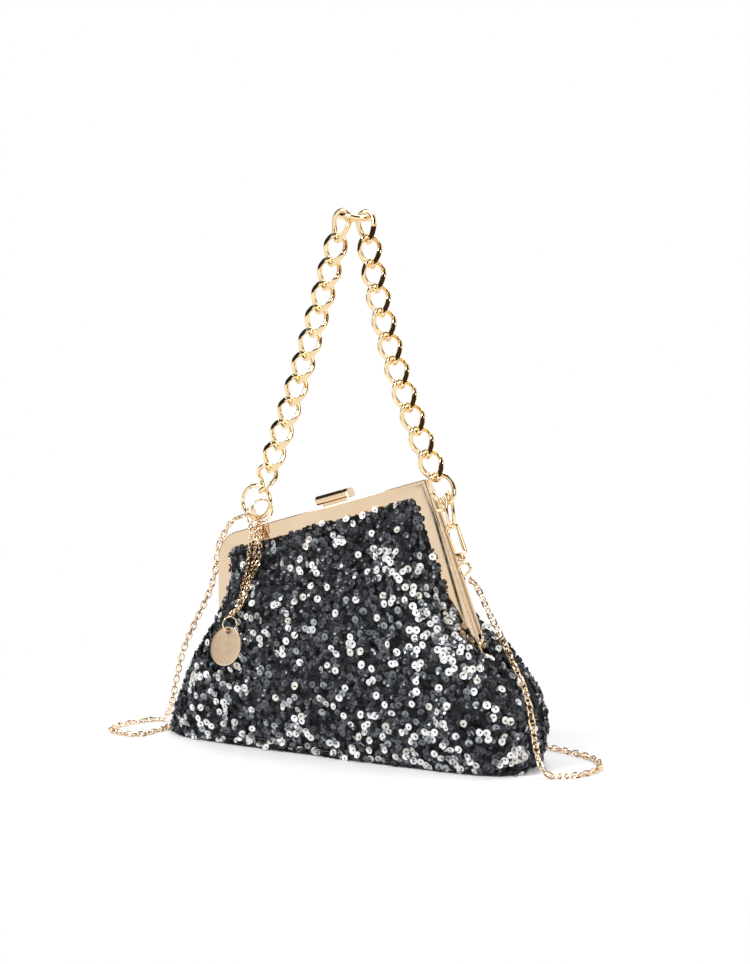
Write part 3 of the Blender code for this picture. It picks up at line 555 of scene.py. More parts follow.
SIDES = {
    -1: ("front", ROOT, ("front_panel",), ("lining_front",)),
    1: ("back", BENT, ("back_panel_lower", "back_panel_upper"), ("lining_back_lower", "lining_back_upper")),
}
grids = {side: soft_grid(side) for side in SIDES}
grids = {side: drape(grid) for side, grid in grids.items()}
for side, (name, body, panels, linings) in SIDES.items():
    grid = grids[side]
    placed(sheet(name + "_cloth", tucked(grid, side), backing, side > 0), body, "sequin_fabric", *panels)
    inner = (grid - grid_normals(grid, side) * LINING_INSET)[2:-1:2, 2:-2:2]
    placed(sheet(name + "_lining", inner, satin, side < 0), body, "lining_satin", *linings)


# ---------------------------------------------------------------- sequins

SEQUIN = 2.7
SPACING = 2.7
HOLE = 0.68
RIM_LIFT = 1.9
CUP = 0.075
LOWEST = 0.15
# Kinds of sequin: the dark one is their own colour; grey, cream and silver are painted highlights, and the last kind
# is painted shade in the holes.
DARK, DIM_GLINT, GLINT, WARM_GLINT, HOLE_SHADE = range(5)


def sequin_template(segments):
    """A cupped disc with a small disc of painted shade sunk in its off-centre hole: rings of points and quads between
    them.
    """
    angle = full_turn(segments)
    rings = []
    for radius, shift, drop in ((0.02, 0.5, 0.12), (HOLE, 0.5, 0.05), (HOLE, 0.5, 0.0), (SEQUIN * 0.64, 0.2, 0.0),
                                (SEQUIN, 0.0, 0.0)):
        x = radius * np.cos(angle) + shift
        y = radius * np.sin(angle)
        rings.append(np.stack([x, y, CUP * (x * x + y * y) - drop], -1))
    return np.concatenate(rings), grid_quads(len(rings), segments, False, True)


def scattered(grid, side, spacing, generator):
    """Points spread evenly over a grid, none closer than the spacing, with their normals."""
    rows, columns = grid.shape[:2]
    normals = grid_normals(grid, side)
    quads = (grid[:-1, :-1], grid[:-1, 1:], grid[1:, :-1], grid[1:, 1:])
    area = np.linalg.norm(np.cross(quads[1] - quads[0], quads[2] - quads[0]), axis=2).ravel()
    count = int(area.sum() / (spacing * spacing) * 5)
    cells = generator.choice(len(area), count, p=area / area.sum())
    r, c = cells // (columns - 1), cells % (columns - 1)
    u, v = generator.random(count)[:, None], generator.random(count)[:, None]

    def mix(field):
        return ((1 - u) * (1 - v) * field[r, c] + u * (1 - v) * field[r, c + 1]
                + (1 - u) * v * field[r + 1, c] + u * v * field[r + 1, c + 1])

    points, directions = mix(grid), mix(normals)
    taken, kept = {}, []
    near = [(i, j, k) for i in (-1, 0, 1) for j in (-1, 0, 1) for k in (-1, 0, 1)]
    limit = spacing * spacing
    keys = np.floor(points / spacing).astype(int)
    for n in range(count):
        key = tuple(keys[n])
        point = points[n]
        clear = True
        for i, j, k in near:
            for m in taken.get((key[0] + i, key[1] + j, key[2] + k), ()):
                gap = point - points[m]
                if gap[0] * gap[0] + gap[1] * gap[1] + gap[2] * gap[2] < limit:
                    clear = False
                    break
            if not clear:
                break
        if clear:
            taken.setdefault(key, []).append(n)
            kept.append(n)
    return points[kept], directions[kept], ((r + v[:, 0]) / (rows - 1))[kept]


def brightness(point):
    """How likely a sequin is painted in a highlight colour, as if catching the light: clusters, more of them low down
    and on the ridge at the right.
    """
    x, y, z = point
    patch = noise.noise(Vector((x * 0.03 + 5, y * 0.03, z * 0.03)))
    small = noise.noise(Vector((x * 0.11, y * 0.11 + 4, z * 0.11)))
    streak = 0.6 + noise.noise(Vector((x * 0.05, 3.3, 0)))
    low = 0.12 * math.exp(-((z - 10) / 9) ** 2) * streak + 0.05 * math.exp(-z / 60)
    ridge = 0.19 * math.exp(-(((x - 62 + (z - 118) * 0.9) / 9) ** 2)) * (60 < z < 150)
    return 0.064 + 0.06 * patch + 0.05 * small + low + ridge


def sequins(name, grid, side, segments, generator):
    """Sequins over one side as one object: most dark and tilted, the ones painted in highlight colours facing out."""
    points, directions, up_share = scattered(grid, side, SPACING, generator)
    count = len(points)
    directions = unit(directions)
    chance = generator.random(count)
    bright = np.array([brightness(p) for p in points])
    kind = np.full(count, DARK)
    # Sequins where the light would catch get lighter materials in turn, as painted highlights: grey the faintest,
    # cream stronger, silver the strongest.
    for limit, finish in ((1.7, DIM_GLINT), (1.15, WARM_GLINT), (1.0, GLINT)):
        kind[chance < bright * limit] = finish
    spread = np.where(kind == DARK, 0.52, 0.22)[:, None]
    tilt = generator.normal(0, 1.0, (count, 3)) * spread + 0.16 * np.array([0.0, 0.0, -1.0])
    facing = unit(directions + tilt)
    spin = generator.random(count)[:, None] * 2 * math.pi
    help_axis = np.where(np.abs(facing[:, 2:3]) > 0.9, [[1.0, 0, 0]], [[0, 0, 1.0]])
    one = unit(np.cross(help_axis, facing))
    two = np.cross(facing, one)
    first = np.cos(spin) * one + np.sin(spin) * two
    second = np.cross(facing, first)
    template, quads = sequin_template(segments)
    scale = np.where(kind == DARK, generator.uniform(0.78, 0.98, count), generator.uniform(0.93, 1.05, count))
    height = np.where(kind == DARK, generator.uniform(0.4, 1.5, count), generator.uniform(1.4, 2.2, count))
    height = height + RIM_LIFT * ((up_share - 0.955) / 0.045).clip(0, 1)
    centre = points + directions * height[:, None]
    shape = (template[None, :, 0:1] * first[:, None] + template[None, :, 1:2] * second[:, None]
             + template[None, :, 2:3] * facing[:, None]) * scale[:, None, None]
    vertices = (centre[:, None] + shape).reshape(-1, 3)
    vertices[:, 2] = np.maximum(vertices[:, 2], LOWEST)
    faces = (quads[None] + (np.arange(count) * len(template))[:, None, None]).reshape(-1, 4)
    # the faces of the sunk hole disc get the painted shade material
    in_hole = np.arange(len(quads)) < 2 * segments
    made = build_mesh(name, vertices, faces, dark_sequin, dim_glint_sequin, glint_sequin, warm_glint_sequin, hole_shade,
                      indices=np.where(in_hole, HOLE_SHADE, kind[:, None]).ravel())
    placed(made, SIDES[side][1], "sequin_fabric")


generator = np.random.default_rng(SEED)
for side, grid in grids.items():
    sequins(SIDES[side][0] + "_sequins", grid, side, 12 if side < 0 else 9, generator)


# ---------------------------------------------------------------- base

def base_layer(name, height, shrink, crown, finish, rows=17):
    """The bottom of the bag, crowned a little, between the front and back rows at the ground."""
    front = grids[-1][0, 3:-3:3] * (shrink, shrink, 1)
    back = grids[1][0, 3:-3:3] * (shrink, shrink, 1)
    arch = np.sin(np.linspace(0, math.pi, len(front))) ** 0.5
    layer = []
    for k in range(rows):
        t = k / (rows - 1)
        row = front + (back - front) * t
        row[:, 2] = height + crown * math.sin(math.pi * t) * arch
        layer.append(row)
    return sheet(name, np.array(layer), finish)


placed(base_layer("base_cloth", 0.6, 1.0, 0.6, base_cloth), ROOT, "sequin_fabric",
       "base_panel", "gusset_left", "gusset_right")
placed(base_layer("stiffener_board", 3.6, 0.965, 0.0, board), ROOT, "stiffener_board", "base_board")
placed(base_layer("lining_floor", 6.6, 0.97, -0.6, satin), ROOT, "lining_satin",
       "lining_base", "lining_side_left", "lining_side_right")


# ---------------------------------------------------------------- metal frame

STRIP_END = 95.0
STRIP = 1.2


def frame_half(name, side, start_z, finish):
    """One half of the frame: a rounded channel with a stepped outer wall, swept round the outline."""
    section_line = [(1.0, 0.3), (1.0, 1.7), (0.85, 1.9), (0.1, 2.1), (0.0, 2.3), (0.0, HALF - 0.9),
                    (0.1, HALF - 0.45), (0.35, HALF - 0.12), (0.8, HALF), (BAND - 0.7, HALF),
                    (BAND - 0.25, HALF - 0.1), (BAND, HALF - 0.4), (BAND, HALF - WALL + 0.1),
                    (BAND - 0.15, HALF - WALL), (WALL + 1.0, HALF - WALL), (WALL + 1.0, 0.3)]
    outline = frame_outline(start_z)
    rails = [inset(outline, depth) for depth, _ in section_line]
    grid = np.array([[(rail[k, 0], side * y, rail[k, 1]) for rail, (_, y) in zip(rails, section_line)]
                     for k in range(len(outline))])
    sides = len(section_line)
    made = build_mesh(name, grid.reshape(-1, 3), grid_quads(len(outline), sides, False, True), finish)
    cap(made, sides)
    return made


placed(frame_half("frame_front_metal", -1, 78.0, champagne), ROOT, GOLD, "frame_front")
placed(frame_half("frame_back_metal", 1, 91.0, champagne), BACK, GOLD, "frame_back")


def plate(name, low, high, edge, finish, matrix=None):
    """A block with rounded edges."""
    (x0, y0, z0), (x1, y1, z1) = low, high
    points = np.array([(x, y, z) for z in (z0, z1) for y in (y0, y1) for x in (x0, x1)], float)
    faces = [(0, 2, 3, 1), (4, 5, 7, 6), (0, 1, 5, 4), (2, 6, 7, 3), (0, 4, 6, 2), (1, 3, 7, 5)]
    if matrix is not None:
        points = moved(points, matrix)
    made = build_mesh(name, points, faces, finish, smooth=False)
    rounding = made.modifiers.new("rounding", "BEVEL")
    rounding.width = edge * MM
    rounding.segments = 3
    made.data.shade_smooth()
    made.modifiers.new("weighted", "WEIGHTED_NORMAL")
    return made


def hinge_ear(name, x, toward, radius, body):
    """A thin round plate of one hinge, its rim softened."""
    profile = ((0, radius - 0.3), (0.15, radius), (0.85, radius), (1, radius - 0.3))
    ear = turned(name, (x, 0, HINGE_Z), (x + toward * STRIP, 0, HINGE_Z), profile, champagne)
    placed(ear, body, GOLD)


for name, outer, inner, toward in (("left", LEFT, LEFT + 1.5, 1),
                                   ("right", HINGE_RIGHT - 0.1, HINGE_RIGHT - 3.4, -1)):
    hinge_ear(name + "_ear_front", outer, toward, 5.2, ROOT)
    hinge_ear(name + "_ear_back", inner, toward, 3.9, BACK)
inner_x = HINGE_RIGHT - 4.6
for name, low, high in (
        ("left_strap", (LEFT + 1.5, 0.6, HINGE_Z), (LEFT + 1.5 + STRIP, HALF - 0.05, STRIP_END)),
        ("right_strap", (inner_x - 3, HALF - WALL, HINGE_Z), (inner_x + 1.1, HALF - 0.1, STRIP_END)),
        ("right_strap_foot", (inner_x, 0.6, HINGE_Z), (inner_x + STRIP, HALF - 0.05, HINGE_Z + 3))):
    placed(plate(name, low, high, 0.3, champagne), BACK, GOLD)

for node, out in (("hinge_rivet_left", 1), ("hinge_rivet_right", -1)):
    start, end = (corner[0] for corner in box_mm(node)[::out])
    head = 1.0 / abs(end - start)
    profile = ((0, 0.4), (0.02, 1.2), (head * 0.3, 2.1), (head * 0.6, 2.45), (head, 2.5), (head, 1.2),
               (1 - 0.8 * head, 1.2), (1 - 0.8 * head, 1.7), (1 - 0.3 * head, 1.6), (1, 1.0))
    rivet = turned(node + "_metal", (start, 0, HINGE_Z), (end, 0, HINGE_Z), profile, champagne)
    placed(rivet, ROOT, GOLD, node)


# ---------------------------------------------------------------- clasp

CLASP_X = -12.5
KNOB_MIDDLE = 5.9
clasp_matrix = np.array(Matrix.Translation((CLASP_X, 0, top_edge(CLASP_X))) @ Matrix.Rotation(-SLOPE, 4, "Y"))
knob_section = [(-4.3, 2.6), (-6.1, 3.6), (-6.4, 4.3), (-6.1, 6.7), (-4.4, 8.8), (-3.4, 9.2), (3.4, 9.2),
                (4.4, 8.8), (6.1, 6.7), (6.4, 4.3), (6.1, 3.6), (4.3, 2.6)]
knob_rows = [[(x, y * shrink, KNOB_MIDDLE + (z - KNOB_MIDDLE) * shrink) for y, z in knob_section]
             for x, shrink in ((-14.0, 0.90), (-13.4, 1.0), (9.6, 1.0), (9.75, 0.955), (10.05, 0.955), (10.2, 1.0),
                               (13.4, 1.0), (14.0, 0.90))]
knob = build_mesh("clasp_knob_metal", moved(np.array(knob_rows).reshape(-1, 3), clasp_matrix),
                  grid_quads(len(knob_rows), len(knob_section), False, True), champagne)
cap(knob, len(knob_section))
shaded(knob.data, 20)
placed(knob, "clasp", GOLD, "clasp_knob")
placed(plate("clasp_stem", (-10, -3.4, -1.0), (10, -1.4, 3.6), 0.3, champagne, clasp_matrix), "clasp", GOLD)


# ---------------------------------------------------------------- handle chain

PITCH = 17.9
WIRE = 3.6
LINK_WIDTH = 19.5
LINK_PLAY = 0.6
LEG_LINKS = 12
CHAIN_Y = -3.0
LEFT_START = (-75.7, 187.9)
RIGHT_START = (79.5, 185.5)
LEFT_TOP = (-4.5, 390.4)
APEX_TILT = math.radians(6)
APEX_ROLL = math.radians(54)
APEX_DROP = 2.6
LINK_TWIST = math.radians(45)
FACET = 5.15
NO_FACET = 99.0
FACET_TILT = math.radians(20)


def link_arrays(start_twist, end_twist, facet, wire):
    """A curb link along X: round wire, twisted, with tilted flats ground on its front and back."""
    half = (PITCH + WIRE + LINK_PLAY) / 2
    angle = full_turn(56)
    x = half * np.cos(angle)
    y = (LINK_WIDTH - WIRE) / 2 * np.sin(angle)
    twist = start_twist + (end_twist - start_twist) * (x / half + 1) / 2
    path = np.stack([x, y * np.cos(twist), y * np.sin(twist)], -1)
    points, quads = tube_arrays(path, wire, 20, True)
    flat = np.zeros_like(points)
    flat[:, 1] = np.sign(points[:, 0]) * math.sin(FACET_TILT)
    flat[:, 2] = math.cos(FACET_TILT)
    over = (points * flat).sum(1)
    points -= flat * (over - np.clip(over, -facet, facet))[:, None]
    return points, quads


def leg_points(start, end, bow):
    """Joints of a leg's links: equal steps along the arc that spans start and end."""
    chord = math.dist(start, end)
    low, high = 1e-5, math.pi / LEG_LINKS
    for _ in range(60):
        step = (low + high) / 2
        if PITCH * math.sin(LEG_LINKS * step / 2) / math.sin(step / 2) > chord:
            low = step
        else:
            high = step
    heading = math.atan2(end[1] - start[1], end[0] - start[0]) - bow * step * (LEG_LINKS - 1) / 2
    points = [start]
    for k in range(LEG_LINKS):
        x, z = points[-1]
        turn = heading + bow * step * k
        points.append((x + PITCH * math.cos(turn), z + PITCH * math.sin(turn)))
    return points


def link_matrix(a, b, roll=0.0):
    ahead = Vector((b[0] - a[0], 0, b[1] - a[1])).normalized()
    side = Vector((ahead.z, 0, -ahead.x))
    turn = Matrix((ahead, side, ahead.cross(side))).transposed().to_4x4()
    return Matrix.Translation(((a[0] + b[0]) / 2, CHAIN_Y, (a[1] + b[1]) / 2)) @ turn @ Matrix.Rotation(roll, 4, "X")


top_right = (LEFT_TOP[0] + PITCH * math.cos(APEX_TILT), LEFT_TOP[1] - PITCH * math.sin(APEX_TILT))
left_leg = leg_points(LEFT_START, LEFT_TOP, 1)
right_leg = leg_points(RIGHT_START, top_right, -1)
body_of_node = {n: b for b, ns in frame["record"]["behaviour"]["bodies"].items() for n in ns}


def handle_link(number, arrays, matrix):
    node = "handle_link_{:02d}".format(number)
    made = build_mesh(node + "_metal", moved(arrays[0], matrix), arrays[1], handle_gold)
    shaded(made.data, 24)
    placed(made, body_of_node[node], GOLD, node)


number = 0
for points, first in ((left_leg, math.radians(-80)), (right_leg, 0.0)):
    for k in range(LEG_LINKS):
        number += 1
        start = first if k == 0 else -LINK_TWIST
        end = 0.0 if k == LEG_LINKS - 1 else LINK_TWIST
        wire = WIRE / 2 - 0.09 if k == 0 else WIRE / 2 + 0.12
        arrays = link_arrays(start, end, NO_FACET if number == 1 else FACET, wire)
        handle_link(number, arrays, link_matrix(points[k], points[k + 1]))
sunk = [(x, z - APEX_DROP) for x, z in (left_leg[-1], right_leg[-1])]
apex = link_arrays(math.radians(26), math.radians(40), NO_FACET, WIRE / 2)
handle_link(number + 1, apex, link_matrix(*sunk, APEX_ROLL))

RING_CENTRE = np.array([-80.5, CHAIN_Y, 178.5])
RING_RADIUS = 12.35
RING_WIRE = 1.56


def ring_arc(count, start, end):
    angles = math.radians(start), math.radians(end)
    return circle(RING_CENTRE, RING_RADIUS, (0, -1, 0), count, *angles, zero=(1, 0, 0))


ring = tube("gate_ring_metal", ring_arc(90, 178.7, 473.0), RING_WIRE, 20, False, handle_gold)
placed(ring, "handle_lower", GOLD, "gate_ring")
leaf_radii = [RING_WIRE - 0.25] * 20 + [1.35, 1.25, 1.1, 0.9]
leaf = tube("gate_leaf_metal", ring_arc(24, 117, 174.5), leaf_radii, 20, False, handle_gold)
placed(leaf, "ring_gate", GOLD, "gate_ring_gate")


# ---------------------------------------------------------------- fine chains

ON_FLOOR = 1.6
SHOULDER_LINK = (4.9, 5.4, 1.15)
TASSEL_LINK = (3.3, 3.5, 0.85)


def chain_arrays(path, link, steps=14, wander=0.15, seed=3):
    """Oval cable links of a pitch, width and wire along a path, each turned a quarter against the last."""
    pitch, width, wire = link
    total = np.linalg.norm(np.diff(path, axis=0), axis=1).sum()
    count = max(2, int(round(total / pitch)))
    centres = along(path, (np.arange(count) + 0.5) / count)
    ends = along(path, np.arange(count + 1) / count)
    spin = np.random.default_rng(seed)
    half = (total / count + 2 * wire * 1.02) / 2
    angle = full_turn(steps)
    square = np.sign(np.cos(angle)) * np.abs(np.cos(angle)) ** 0.8
    parts = []
    lead = None
    for k in range(count):
        axis = unit(ends[k + 1] - ends[k])
        if lead is None:
            lead = np.cross(axis, (0.3, 1.0, 0.2))
        lead = unit(lead - lead.dot(axis) * axis)
        other = np.cross(axis, lead)
        turn = (math.pi / 2) * (k % 2) + math.radians(45) + spin.normal(0, wander)
        side = math.cos(turn) * lead + math.sin(turn) * other
        loop = (centres[k] + square[:, None] * half * axis
                + (np.sin(angle) * (width - wire) / 2)[:, None] * side)
        parts.append(tube_arrays(loop, wire / 2, 6, True))
    return parts


def smooth_path(knots, per_span=14):
    """Points of a smooth curve through the knots."""
    knots = [Vector(k) for k in knots]
    knots = [2 * knots[0] - knots[1]] + knots + [2 * knots[-1] - knots[-2]]
    path = []
    for a, b, c, d in zip(knots, knots[1:], knots[2:], knots[3:]):
        for k in range(per_span):
            t = k / per_span
            path.append(0.5 * (2 * b + (c - a) * t + (2 * a - 5 * b + 4 * c - d) * t * t
                               + (3 * b - a - 3 * c + d) * t ** 3))
    path.append(knots[-2])
    return np.array([tuple(p) for p in path])


swivel_low, swivel_high = box_mm("snap_hook_ring")
swivel = (swivel_low + swivel_high) / 2
left_run = [(-91.5, -3, 167.5), (-101, -1.5, 164.5), (-110, -0.5, 156), (-116.8, -0.5, 143), (-118.2, -2, 128),
            (-121.5, -4, 112), (-128.5, -5, 97), (-138, -5, 80), (-148.5, -4, 60), (-157, -1, 38), (-165, 2, 14),
            (-173, 3, ON_FLOOR + 1)]
left_loop = [(-181, -4), (-188, -18), (-190, -35), (-186, -47), (-173, -53), (-159, -50), (-154, -36), (-153, 0),
             (-152, 35), (-138, 51)]
behind = [(-80, 55), (0, 56), (80, 55)]
right_loop = [(125, 58), (151, 53), (169, 44), (181, 32), (186, 17), (183, 0), (175, -12)]
right_run = [(165, -19, ON_FLOOR + 0.5), (158, -19.5, 8), (154, -19, 20), (151.5, -19, 34), (149.5, -20, 48),
             (145.5, -21, 62), (138, -20, 76), (128, -17, 92), (115, -12, 110), (104, -6, 125),
             (swivel[0] + 0.6, swivel[1], swivel_low[2] - 0.4)]
on_floor = [(x, y, ON_FLOOR) for x, y in left_loop + behind + right_loop]
shoulder = chain_arrays(smooth_path(left_run + on_floor + right_run), SHOULDER_LINK)
placed(merged("shoulder_chain_links", shoulder, rose_gold), ROOT, FINE, "shoulder_chain")


def ring_for(node, normal, wire, body, finish, slot):
    """A round ring that fills a CAD ring's height."""
    low, high = box_mm(node)
    loop = circle((low + high) / 2, (high - low)[2] / 2 - wire, normal)
    placed(tube(node + "_metal", loop, wire, 14, True, finish), body, slot, node)


ring_turn = math.radians(56)
ring_for("shoulder_ring", (1, 0, 0), 0.68, ROOT, rose_gold, FINE)
ring_for("tassel_ring", (math.sin(ring_turn), -math.cos(ring_turn), 0), 0.72, "tassel", handle_gold, GOLD)
ring_for("tag_ring", (0.75, -0.66, 0), 0.58, "tassel", handle_gold, GOLD)
ring_for("snap_hook_ring", (0, 1, 0), 1.0, ROOT, handle_gold, GOLD)

# hook link and snap hook
angle = full_turn(60)
oval = np.stack([79.6 + 1.6 * (1 - np.sin(angle)), CHAIN_Y + 5.4 * np.cos(angle), 178.0 + 12.4 * np.sin(angle)], -1)
placed(tube("hook_link_metal", oval, 1.25, 18, True, handle_gold), ROOT, GOLD, "hook_link")

HOOK_TOP = Vector((82.0, 0, 168.6))
HOOK_FOOT = Vector((93.0, 0, 137.5))
HOOK_BEND = 4.2
hook_axis = (HOOK_TOP - HOOK_FOOT).normalized()
hook_across = Vector((hook_axis.z, 0, -hook_axis.x))
hook_matrix = np.array(Matrix.Translation((HOOK_TOP.x, CHAIN_Y, HOOK_TOP.z))
                       @ Matrix((hook_across, Vector((0, 1, 0)), hook_axis)).transposed().to_4x4())
path = [(HOOK_BEND, 0, z) for z in (-22.5, -18, -13.0, -8.0)]
path += [(HOOK_BEND * math.cos(math.pi * k / 20), 0, HOOK_BEND * (math.sin(math.pi * k / 20) - 1)) for k in range(21)]
path += [(-HOOK_BEND, 0, z) for z in (-6.0, -7.5)]
radii = [1.6, 1.7, 1.5, 1.35] + [1.3] * 22 + [1.1]
placed(tube("snap_hook_metal", moved(path, hook_matrix), radii, 18, False, handle_gold), ROOT, GOLD, "snap_hook")
foot = turned("snap_hook_foot", *moved([(0, 0, -27.5), (0, 0, -21.5)], hook_matrix),
              ((0, 1.8), (0.05, 2.2), (0.15, 2.9), (0.22, 3.0), (0.4, 3.0), (0.45, 2.5), (0.55, 2.5), (0.6, 3.0),
               (0.66, 3.2), (0.88, 5.4), (0.93, 5.6), (1, 5.3)), handle_gold)
placed(foot, ROOT, GOLD)
leaf_path = [(x, 0, z) for x, z in ((-HOOK_BEND, -9.6), (-4.05, -12), (-3.9, -15), (-3.7, -18), (-3.6, -21.0))]
leaf = tube("snap_hook_leaf", moved(leaf_path, hook_matrix), 0.9, 14, False, handle_gold)
placed(leaf, "hook_gate", GOLD, "snap_hook_gate")


# ---------------------------------------------------------------- lugs

def eye_lug(name, node, centre, tilt, outer, hole, foot):
    """A flat eye turned from a ring, standing on a small foot."""
    matrix = np.array(Matrix.Translation(centre) @ Matrix.Rotation(-tilt, 4, "Y"))
    points, quads = tube_arrays(circle((0, 0, 0), (outer + hole) / 2, (1, 0, 0), 40), (outer - hole) / 2, 16, True)
    points[:, 0] = np.clip(points[:, 0], -1.0, 1.0)
    placed(build_mesh(name, moved(points, matrix), quads, handle_gold), ROOT, GOLD, node)
    placed(plate(name + "_foot", *foot, 0.3, handle_gold, matrix), ROOT, GOLD)


SWING_LEFT = (-80.5, 166.1)
SWING_RIGHT = (79.9, 183.4)
drop = (SWING_LEFT[1] - top_edge(SWING_LEFT[0])) * math.cos(SLOPE)
eye_lug("lug_left_metal", "lug_left", (SWING_LEFT[0], CHAIN_Y, SWING_LEFT[1]), SLOPE, 4.0, 2.5,
        ((-1, -2.2, 0.3 - drop), (1, 2.2, -3.0)))
tilt = math.atan2(SWING_RIGHT[1] - SWING_LEFT[1], SWING_RIGHT[0] - SWING_LEFT[0])
eye_lug("lug_right_metal", "lug_right", (75.8, CHAIN_Y, 182.96), tilt, 4.9, 3.2,
        ((-5.0, -1.6, -6.2), (0.9, 1.6, -4.2)))


# ---------------------------------------------------------------- tassel and tag

tassel_high = box_mm("tassel_chain")[1]
ring_low, ring_high = box_mm("tag_ring")
ring_top = np.array([*(ring_low + ring_high)[:2] / 2, ring_high[2] + 0.2])
front_points = grids[-1][2:-2, 4:-4].reshape(-1, 3)


def strand(start, end, bow, lift, knots=15):
    """A strand's path that lies on the draped front, its middle bowed sideways."""
    path = []
    for k in range(knots):
        t = k / (knots - 1)
        x = start[0] + (end[0] - start[0]) * t + bow * math.sin(math.pi * t)
        z = start[2] + (end[2] - start[2]) * t
        near = np.argmin((front_points[:, 0] - x) ** 2 + (front_points[:, 2] - z) ** 2)
        y = start[1] if k == 0 else min(-8.0, front_points[near, 1] - lift)
        if k == knots - 1:
            y = min(end[1], y)
        path.append((x, y, z))
    return smooth_path(path, 4)


top = np.array([tassel_high[0] + 0.5, -7.5, tassel_high[2] + 0.5])
paths = [strand(top + (shift, -0.8 * n, 0), ring_top + (0.15 * shift, 0, 0), bow, lift)
         for n, (bow, lift, shift) in enumerate(((-1.6, 4.2, -4.2), (1.0, 4.6, 0.0), (3.0, 5.4, 4.2)))]
seeds = [5, 6, 7, 9, 10]
for shift, end_z in ((2.0, 148.0), (4.0, 152.0)):
    paths.append(smooth_path([(top[0] + shift * 0.6, top[1], top[2]), (top[0] + shift, -9.0, 157.0),
                              (top[0] + shift * 1.1, -11.5, end_z)], 8))
strands = [part for path, seed in zip(paths, seeds) for part in chain_arrays(path, TASSEL_LINK, 12, 0.3, seed)]
placed(merged("tassel_strands", strands, rose_gold), "tassel", FINE, "tassel_chain")

TAG_RADIUS = 14.5
TAG_HOLE = 2.15
TAG_STEPS = 96
tag_matrix = (Matrix.Translation(Vector(sum(box_mm("tag_disc")) / 2)) @ Matrix.Rotation(math.radians(-8), 4, "Z")
              @ Matrix.Rotation(math.radians(-15), 4, "X"))


def tag_arrays():
    """A thin round plate with a softened rim and a hole near its top."""
    angle = full_turn(TAG_STEPS)
    rim = np.stack([np.cos(angle), np.zeros(TAG_STEPS), np.sin(angle)], -1)
    rows = []
    for share, y in ((0.0, -0.62), (0.06, -0.7), (0.3, -0.7), (0.6, -0.7), (0.95, -0.7), (0.985, -0.66), (1.0, -0.4),
                     (1.0, 0.4), (0.985, 0.66), (0.95, 0.7), (0.5, 0.7), (0.06, 0.7), (0.0, 0.62)):
        row = np.array([0, 0, 11.2]) * (1 - share) + rim * (TAG_HOLE + (TAG_RADIUS - TAG_HOLE) * share)
        row[:, 1] = y
        rows.append(row)
    return np.concatenate(rows), grid_quads(len(rows), TAG_STEPS, True, True)


tag_points, tag_quads = tag_arrays()
placed(build_mesh("tag_plate", moved(tag_points, tag_matrix), tag_quads, tag_gold), "tag", GOLD, "tag_disc")


# ---------------------------------------------------------------- carried-over CAD nodes

for node in ("clasp_latch", "clasp_strike", "clasp_spring"):
    mesh = frame["nodes"][node].data
    mesh.materials.clear()
    mesh.materials.append(steel)
    shaded(mesh, 35)


# ---------------------------------------------------------------- studio

# a direction, the cosine of the patch's edge and its depth
DARK_PATCHES = (
    ((0.60, -0.55, 0.58), 0.62, 0.97), ((-0.75, -0.10, 0.65), 0.82, 0.99), ((0.20, -0.96, -0.12), 0.915, 0.98),
    ((0.93, 0.2, 0.1), 0.88, 0.95), ((-0.55, 0.75, 0.35), 0.88, 0.9), ((-0.94, -0.32, -0.10), 0.90, 0.97),
)
FLOOR_HALF = 9000
LENS = 56.2
CAMERA_AT = (0.5366, -0.9602, 0.261)
HEADING = math.radians(28.3)
PITCH_DOWN = math.radians(3.4)


def room(tree, target):
    """What polished pieces mirror: a bright studio with dark patches that have warm edges."""
    place = tree.nodes.new("ShaderNodeTexCoord")
    total = None
    for direction, edge, depth in DARK_PATCHES:
        dot = add(tree, "ShaderNodeVectorMath", operation="DOT_PRODUCT")
        dot.inputs[1].default_value = Vector(direction).normalized()
        tree.links.new(place.outputs["Generated"], dot.inputs[0])
        dark = add(tree, "ShaderNodeMapRange", From_Min=edge, From_Max=edge + 0.05, To_Min=1.0, To_Max=1 - depth)
        tree.links.new(dot.outputs["Value"], dark.inputs["Value"])
        total = dark.outputs[0] if total is None else maths(tree, "MULTIPLY", total, dark.outputs[0])
    ramp(tree, total, ((0.0, (0.02, 0.016, 0.012)), (0.45, (0.62, 0.40, 0.20)), (1.0, (1.0, 1.0, 1.0))), target)


def world():
    """White to the camera, soft light on matt pieces and the room in polished ones."""
    scene = bpy.context.scene
    scene.view_settings.view_transform = "Standard"
    scene.world = bpy.data.worlds.new("studio")
    scene.world.use_nodes = True
    tree = scene.world.node_tree
    tree.nodes.clear()
    out = tree.nodes.new("ShaderNodeOutputWorld")
    seen = add(tree, "ShaderNodeBackground", Color=(1, 1, 1, 1), Strength=1.0)
    lit = add(tree, "ShaderNodeBackground", Color=(0.98, 0.985, 1.0, 1), Strength=0.62)
    mirrored = tree.nodes.new("ShaderNodeBackground")
    room(tree, mirrored.inputs["Color"])
    ray = tree.nodes.new("ShaderNodeLightPath")
    glossy = mixed(tree, ray.outputs["Is Glossy Ray"], lit, mirrored)
    mix = mixed(tree, ray.outputs["Is Camera Ray"], glossy, seen)
    tree.links.new(mix.outputs[0], out.inputs["Surface"])


def floor_material():
    """A pale floor that fades into the white background away from the bag."""
    made, tree, shader = new_material("floor_white", Base_Color=(0.94, 0.94, 0.945, 1), Roughness=0.75)
    glow = add(tree, "ShaderNodeEmission", Color=(1, 1, 1, 1), Strength=1.0)
    place = tree.nodes.new("ShaderNodeTexCoord")
    length = add(tree, "ShaderNodeVectorMath", operation="LENGTH")
    tree.links.new(place.outputs["Object"], length.inputs[0])
    fade = add(tree, "ShaderNodeMapRange", From_Min=0.16, From_Max=0.42)
    tree.links.new(length.outputs["Value"], fade.inputs["Value"])
    mix = mixed(tree, fade.outputs[0], shader, glow)
    tree.links.new(mix.outputs[0], tree.nodes["Material Output"].inputs["Surface"])
    return made


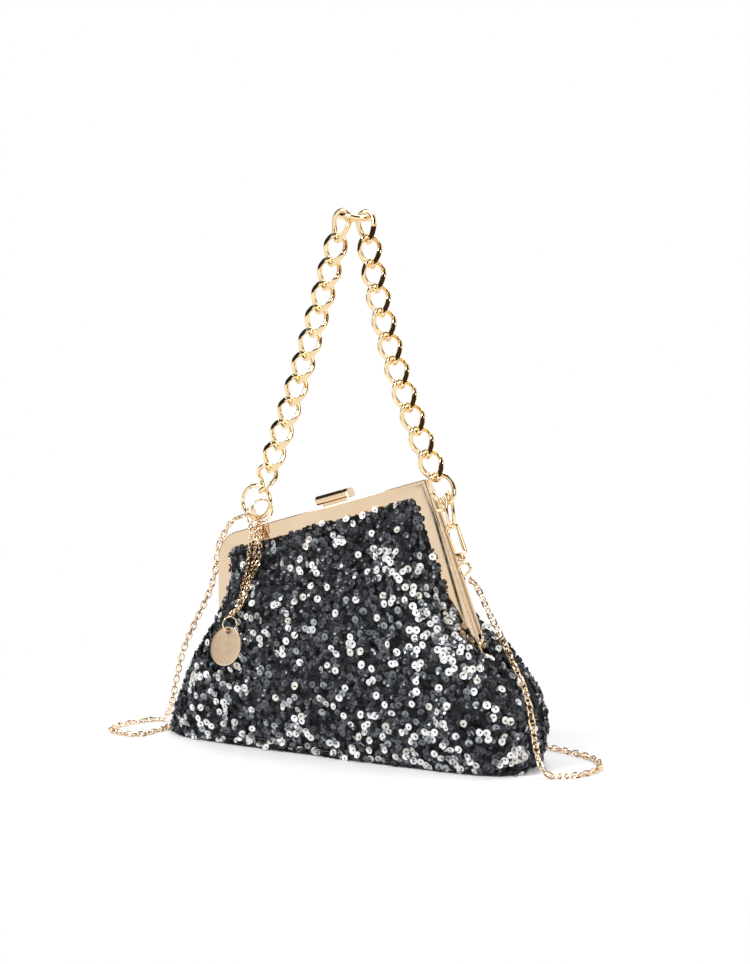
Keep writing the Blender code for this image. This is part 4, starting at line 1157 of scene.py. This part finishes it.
def backdrop(name, half_x, half_y, z, finish):
    corners = [(-half_x, -half_y, z), (half_x, -half_y, z), (half_x, half_y, z), (-half_x, half_y, z)]
    made = build_mesh(name, corners, [(0, 1, 2, 3)], finish, smooth=False)
    return made


def aimed(item, at, ahead, axis="-Z"):
    item.location = at
    item.rotation_mode = "QUATERNION"
    item.rotation_quaternion = ahead.to_track_quat(axis, "Y")


def light(name, at, target, size, power):
    data = bpy.data.lights.new(name, "AREA")
    data.shape = "DISK"
    data.size = size
    data.energy = power
    item = bpy.data.objects.new(name, data)
    aimed(item, at, Vector(target) - Vector(at))
    bpy.context.scene.collection.objects.link(item)


def card(name, at, target, width, height):
    """A black card that only reflections see."""
    black = new_material(name, Base_Color=(0.01, 0.01, 0.01, 1), Roughness=1.0)[0]
    item = backdrop(name, width / 2 / MM, height / 2 / MM, 0, black)
    aimed(item, at, Vector(target) - Vector(at), "Z")
    for rays in ("camera", "diffuse", "shadow", "transmission"):
        setattr(item, "visible_" + rays, False)


def camera():
    data = bpy.data.cameras.new("camera")
    data.sensor_fit = "VERTICAL"
    data.sensor_height = data.sensor_width = 36.0
    data.lens = LENS
    item = bpy.data.objects.new("camera", data)
    level = math.cos(PITCH_DOWN)
    ahead = Vector((-math.sin(HEADING) * level, math.cos(HEADING) * level, -math.sin(PITCH_DOWN)))
    aimed(item, CAMERA_AT, ahead)
    bpy.context.scene.collection.objects.link(item)
    bpy.context.scene.camera = item


world()
backdrop("floor", FLOOR_HALF, FLOOR_HALF, -0.2, floor_material())
light("key", (-0.7, -1.1, 1.5), (0, 0, 0.12), 0.7, 17)
light("fill", (1.4, -0.9, 0.9), (0, 0, 0.12), 0.9, 8)
light("top", (0.1, 0.5, 1.7), (0, 0, 0.1), 0.9, 12)
card("card_left", (-0.9, -0.25, 0.35), (0.02, 0, 0.25), 0.16, 1.3)
card("card_right", (1.1, 0.35, 0.35), (0, 0, 0.25), 0.30, 1.2)
card("card_front", (0.35, -1.35, 0.85), (0, 0, 0.25), 0.9, 0.16)
card("card_low", (-0.35, -1.2, 0.10), (0, 0, 0.25), 0.12, 0.5)
camera()
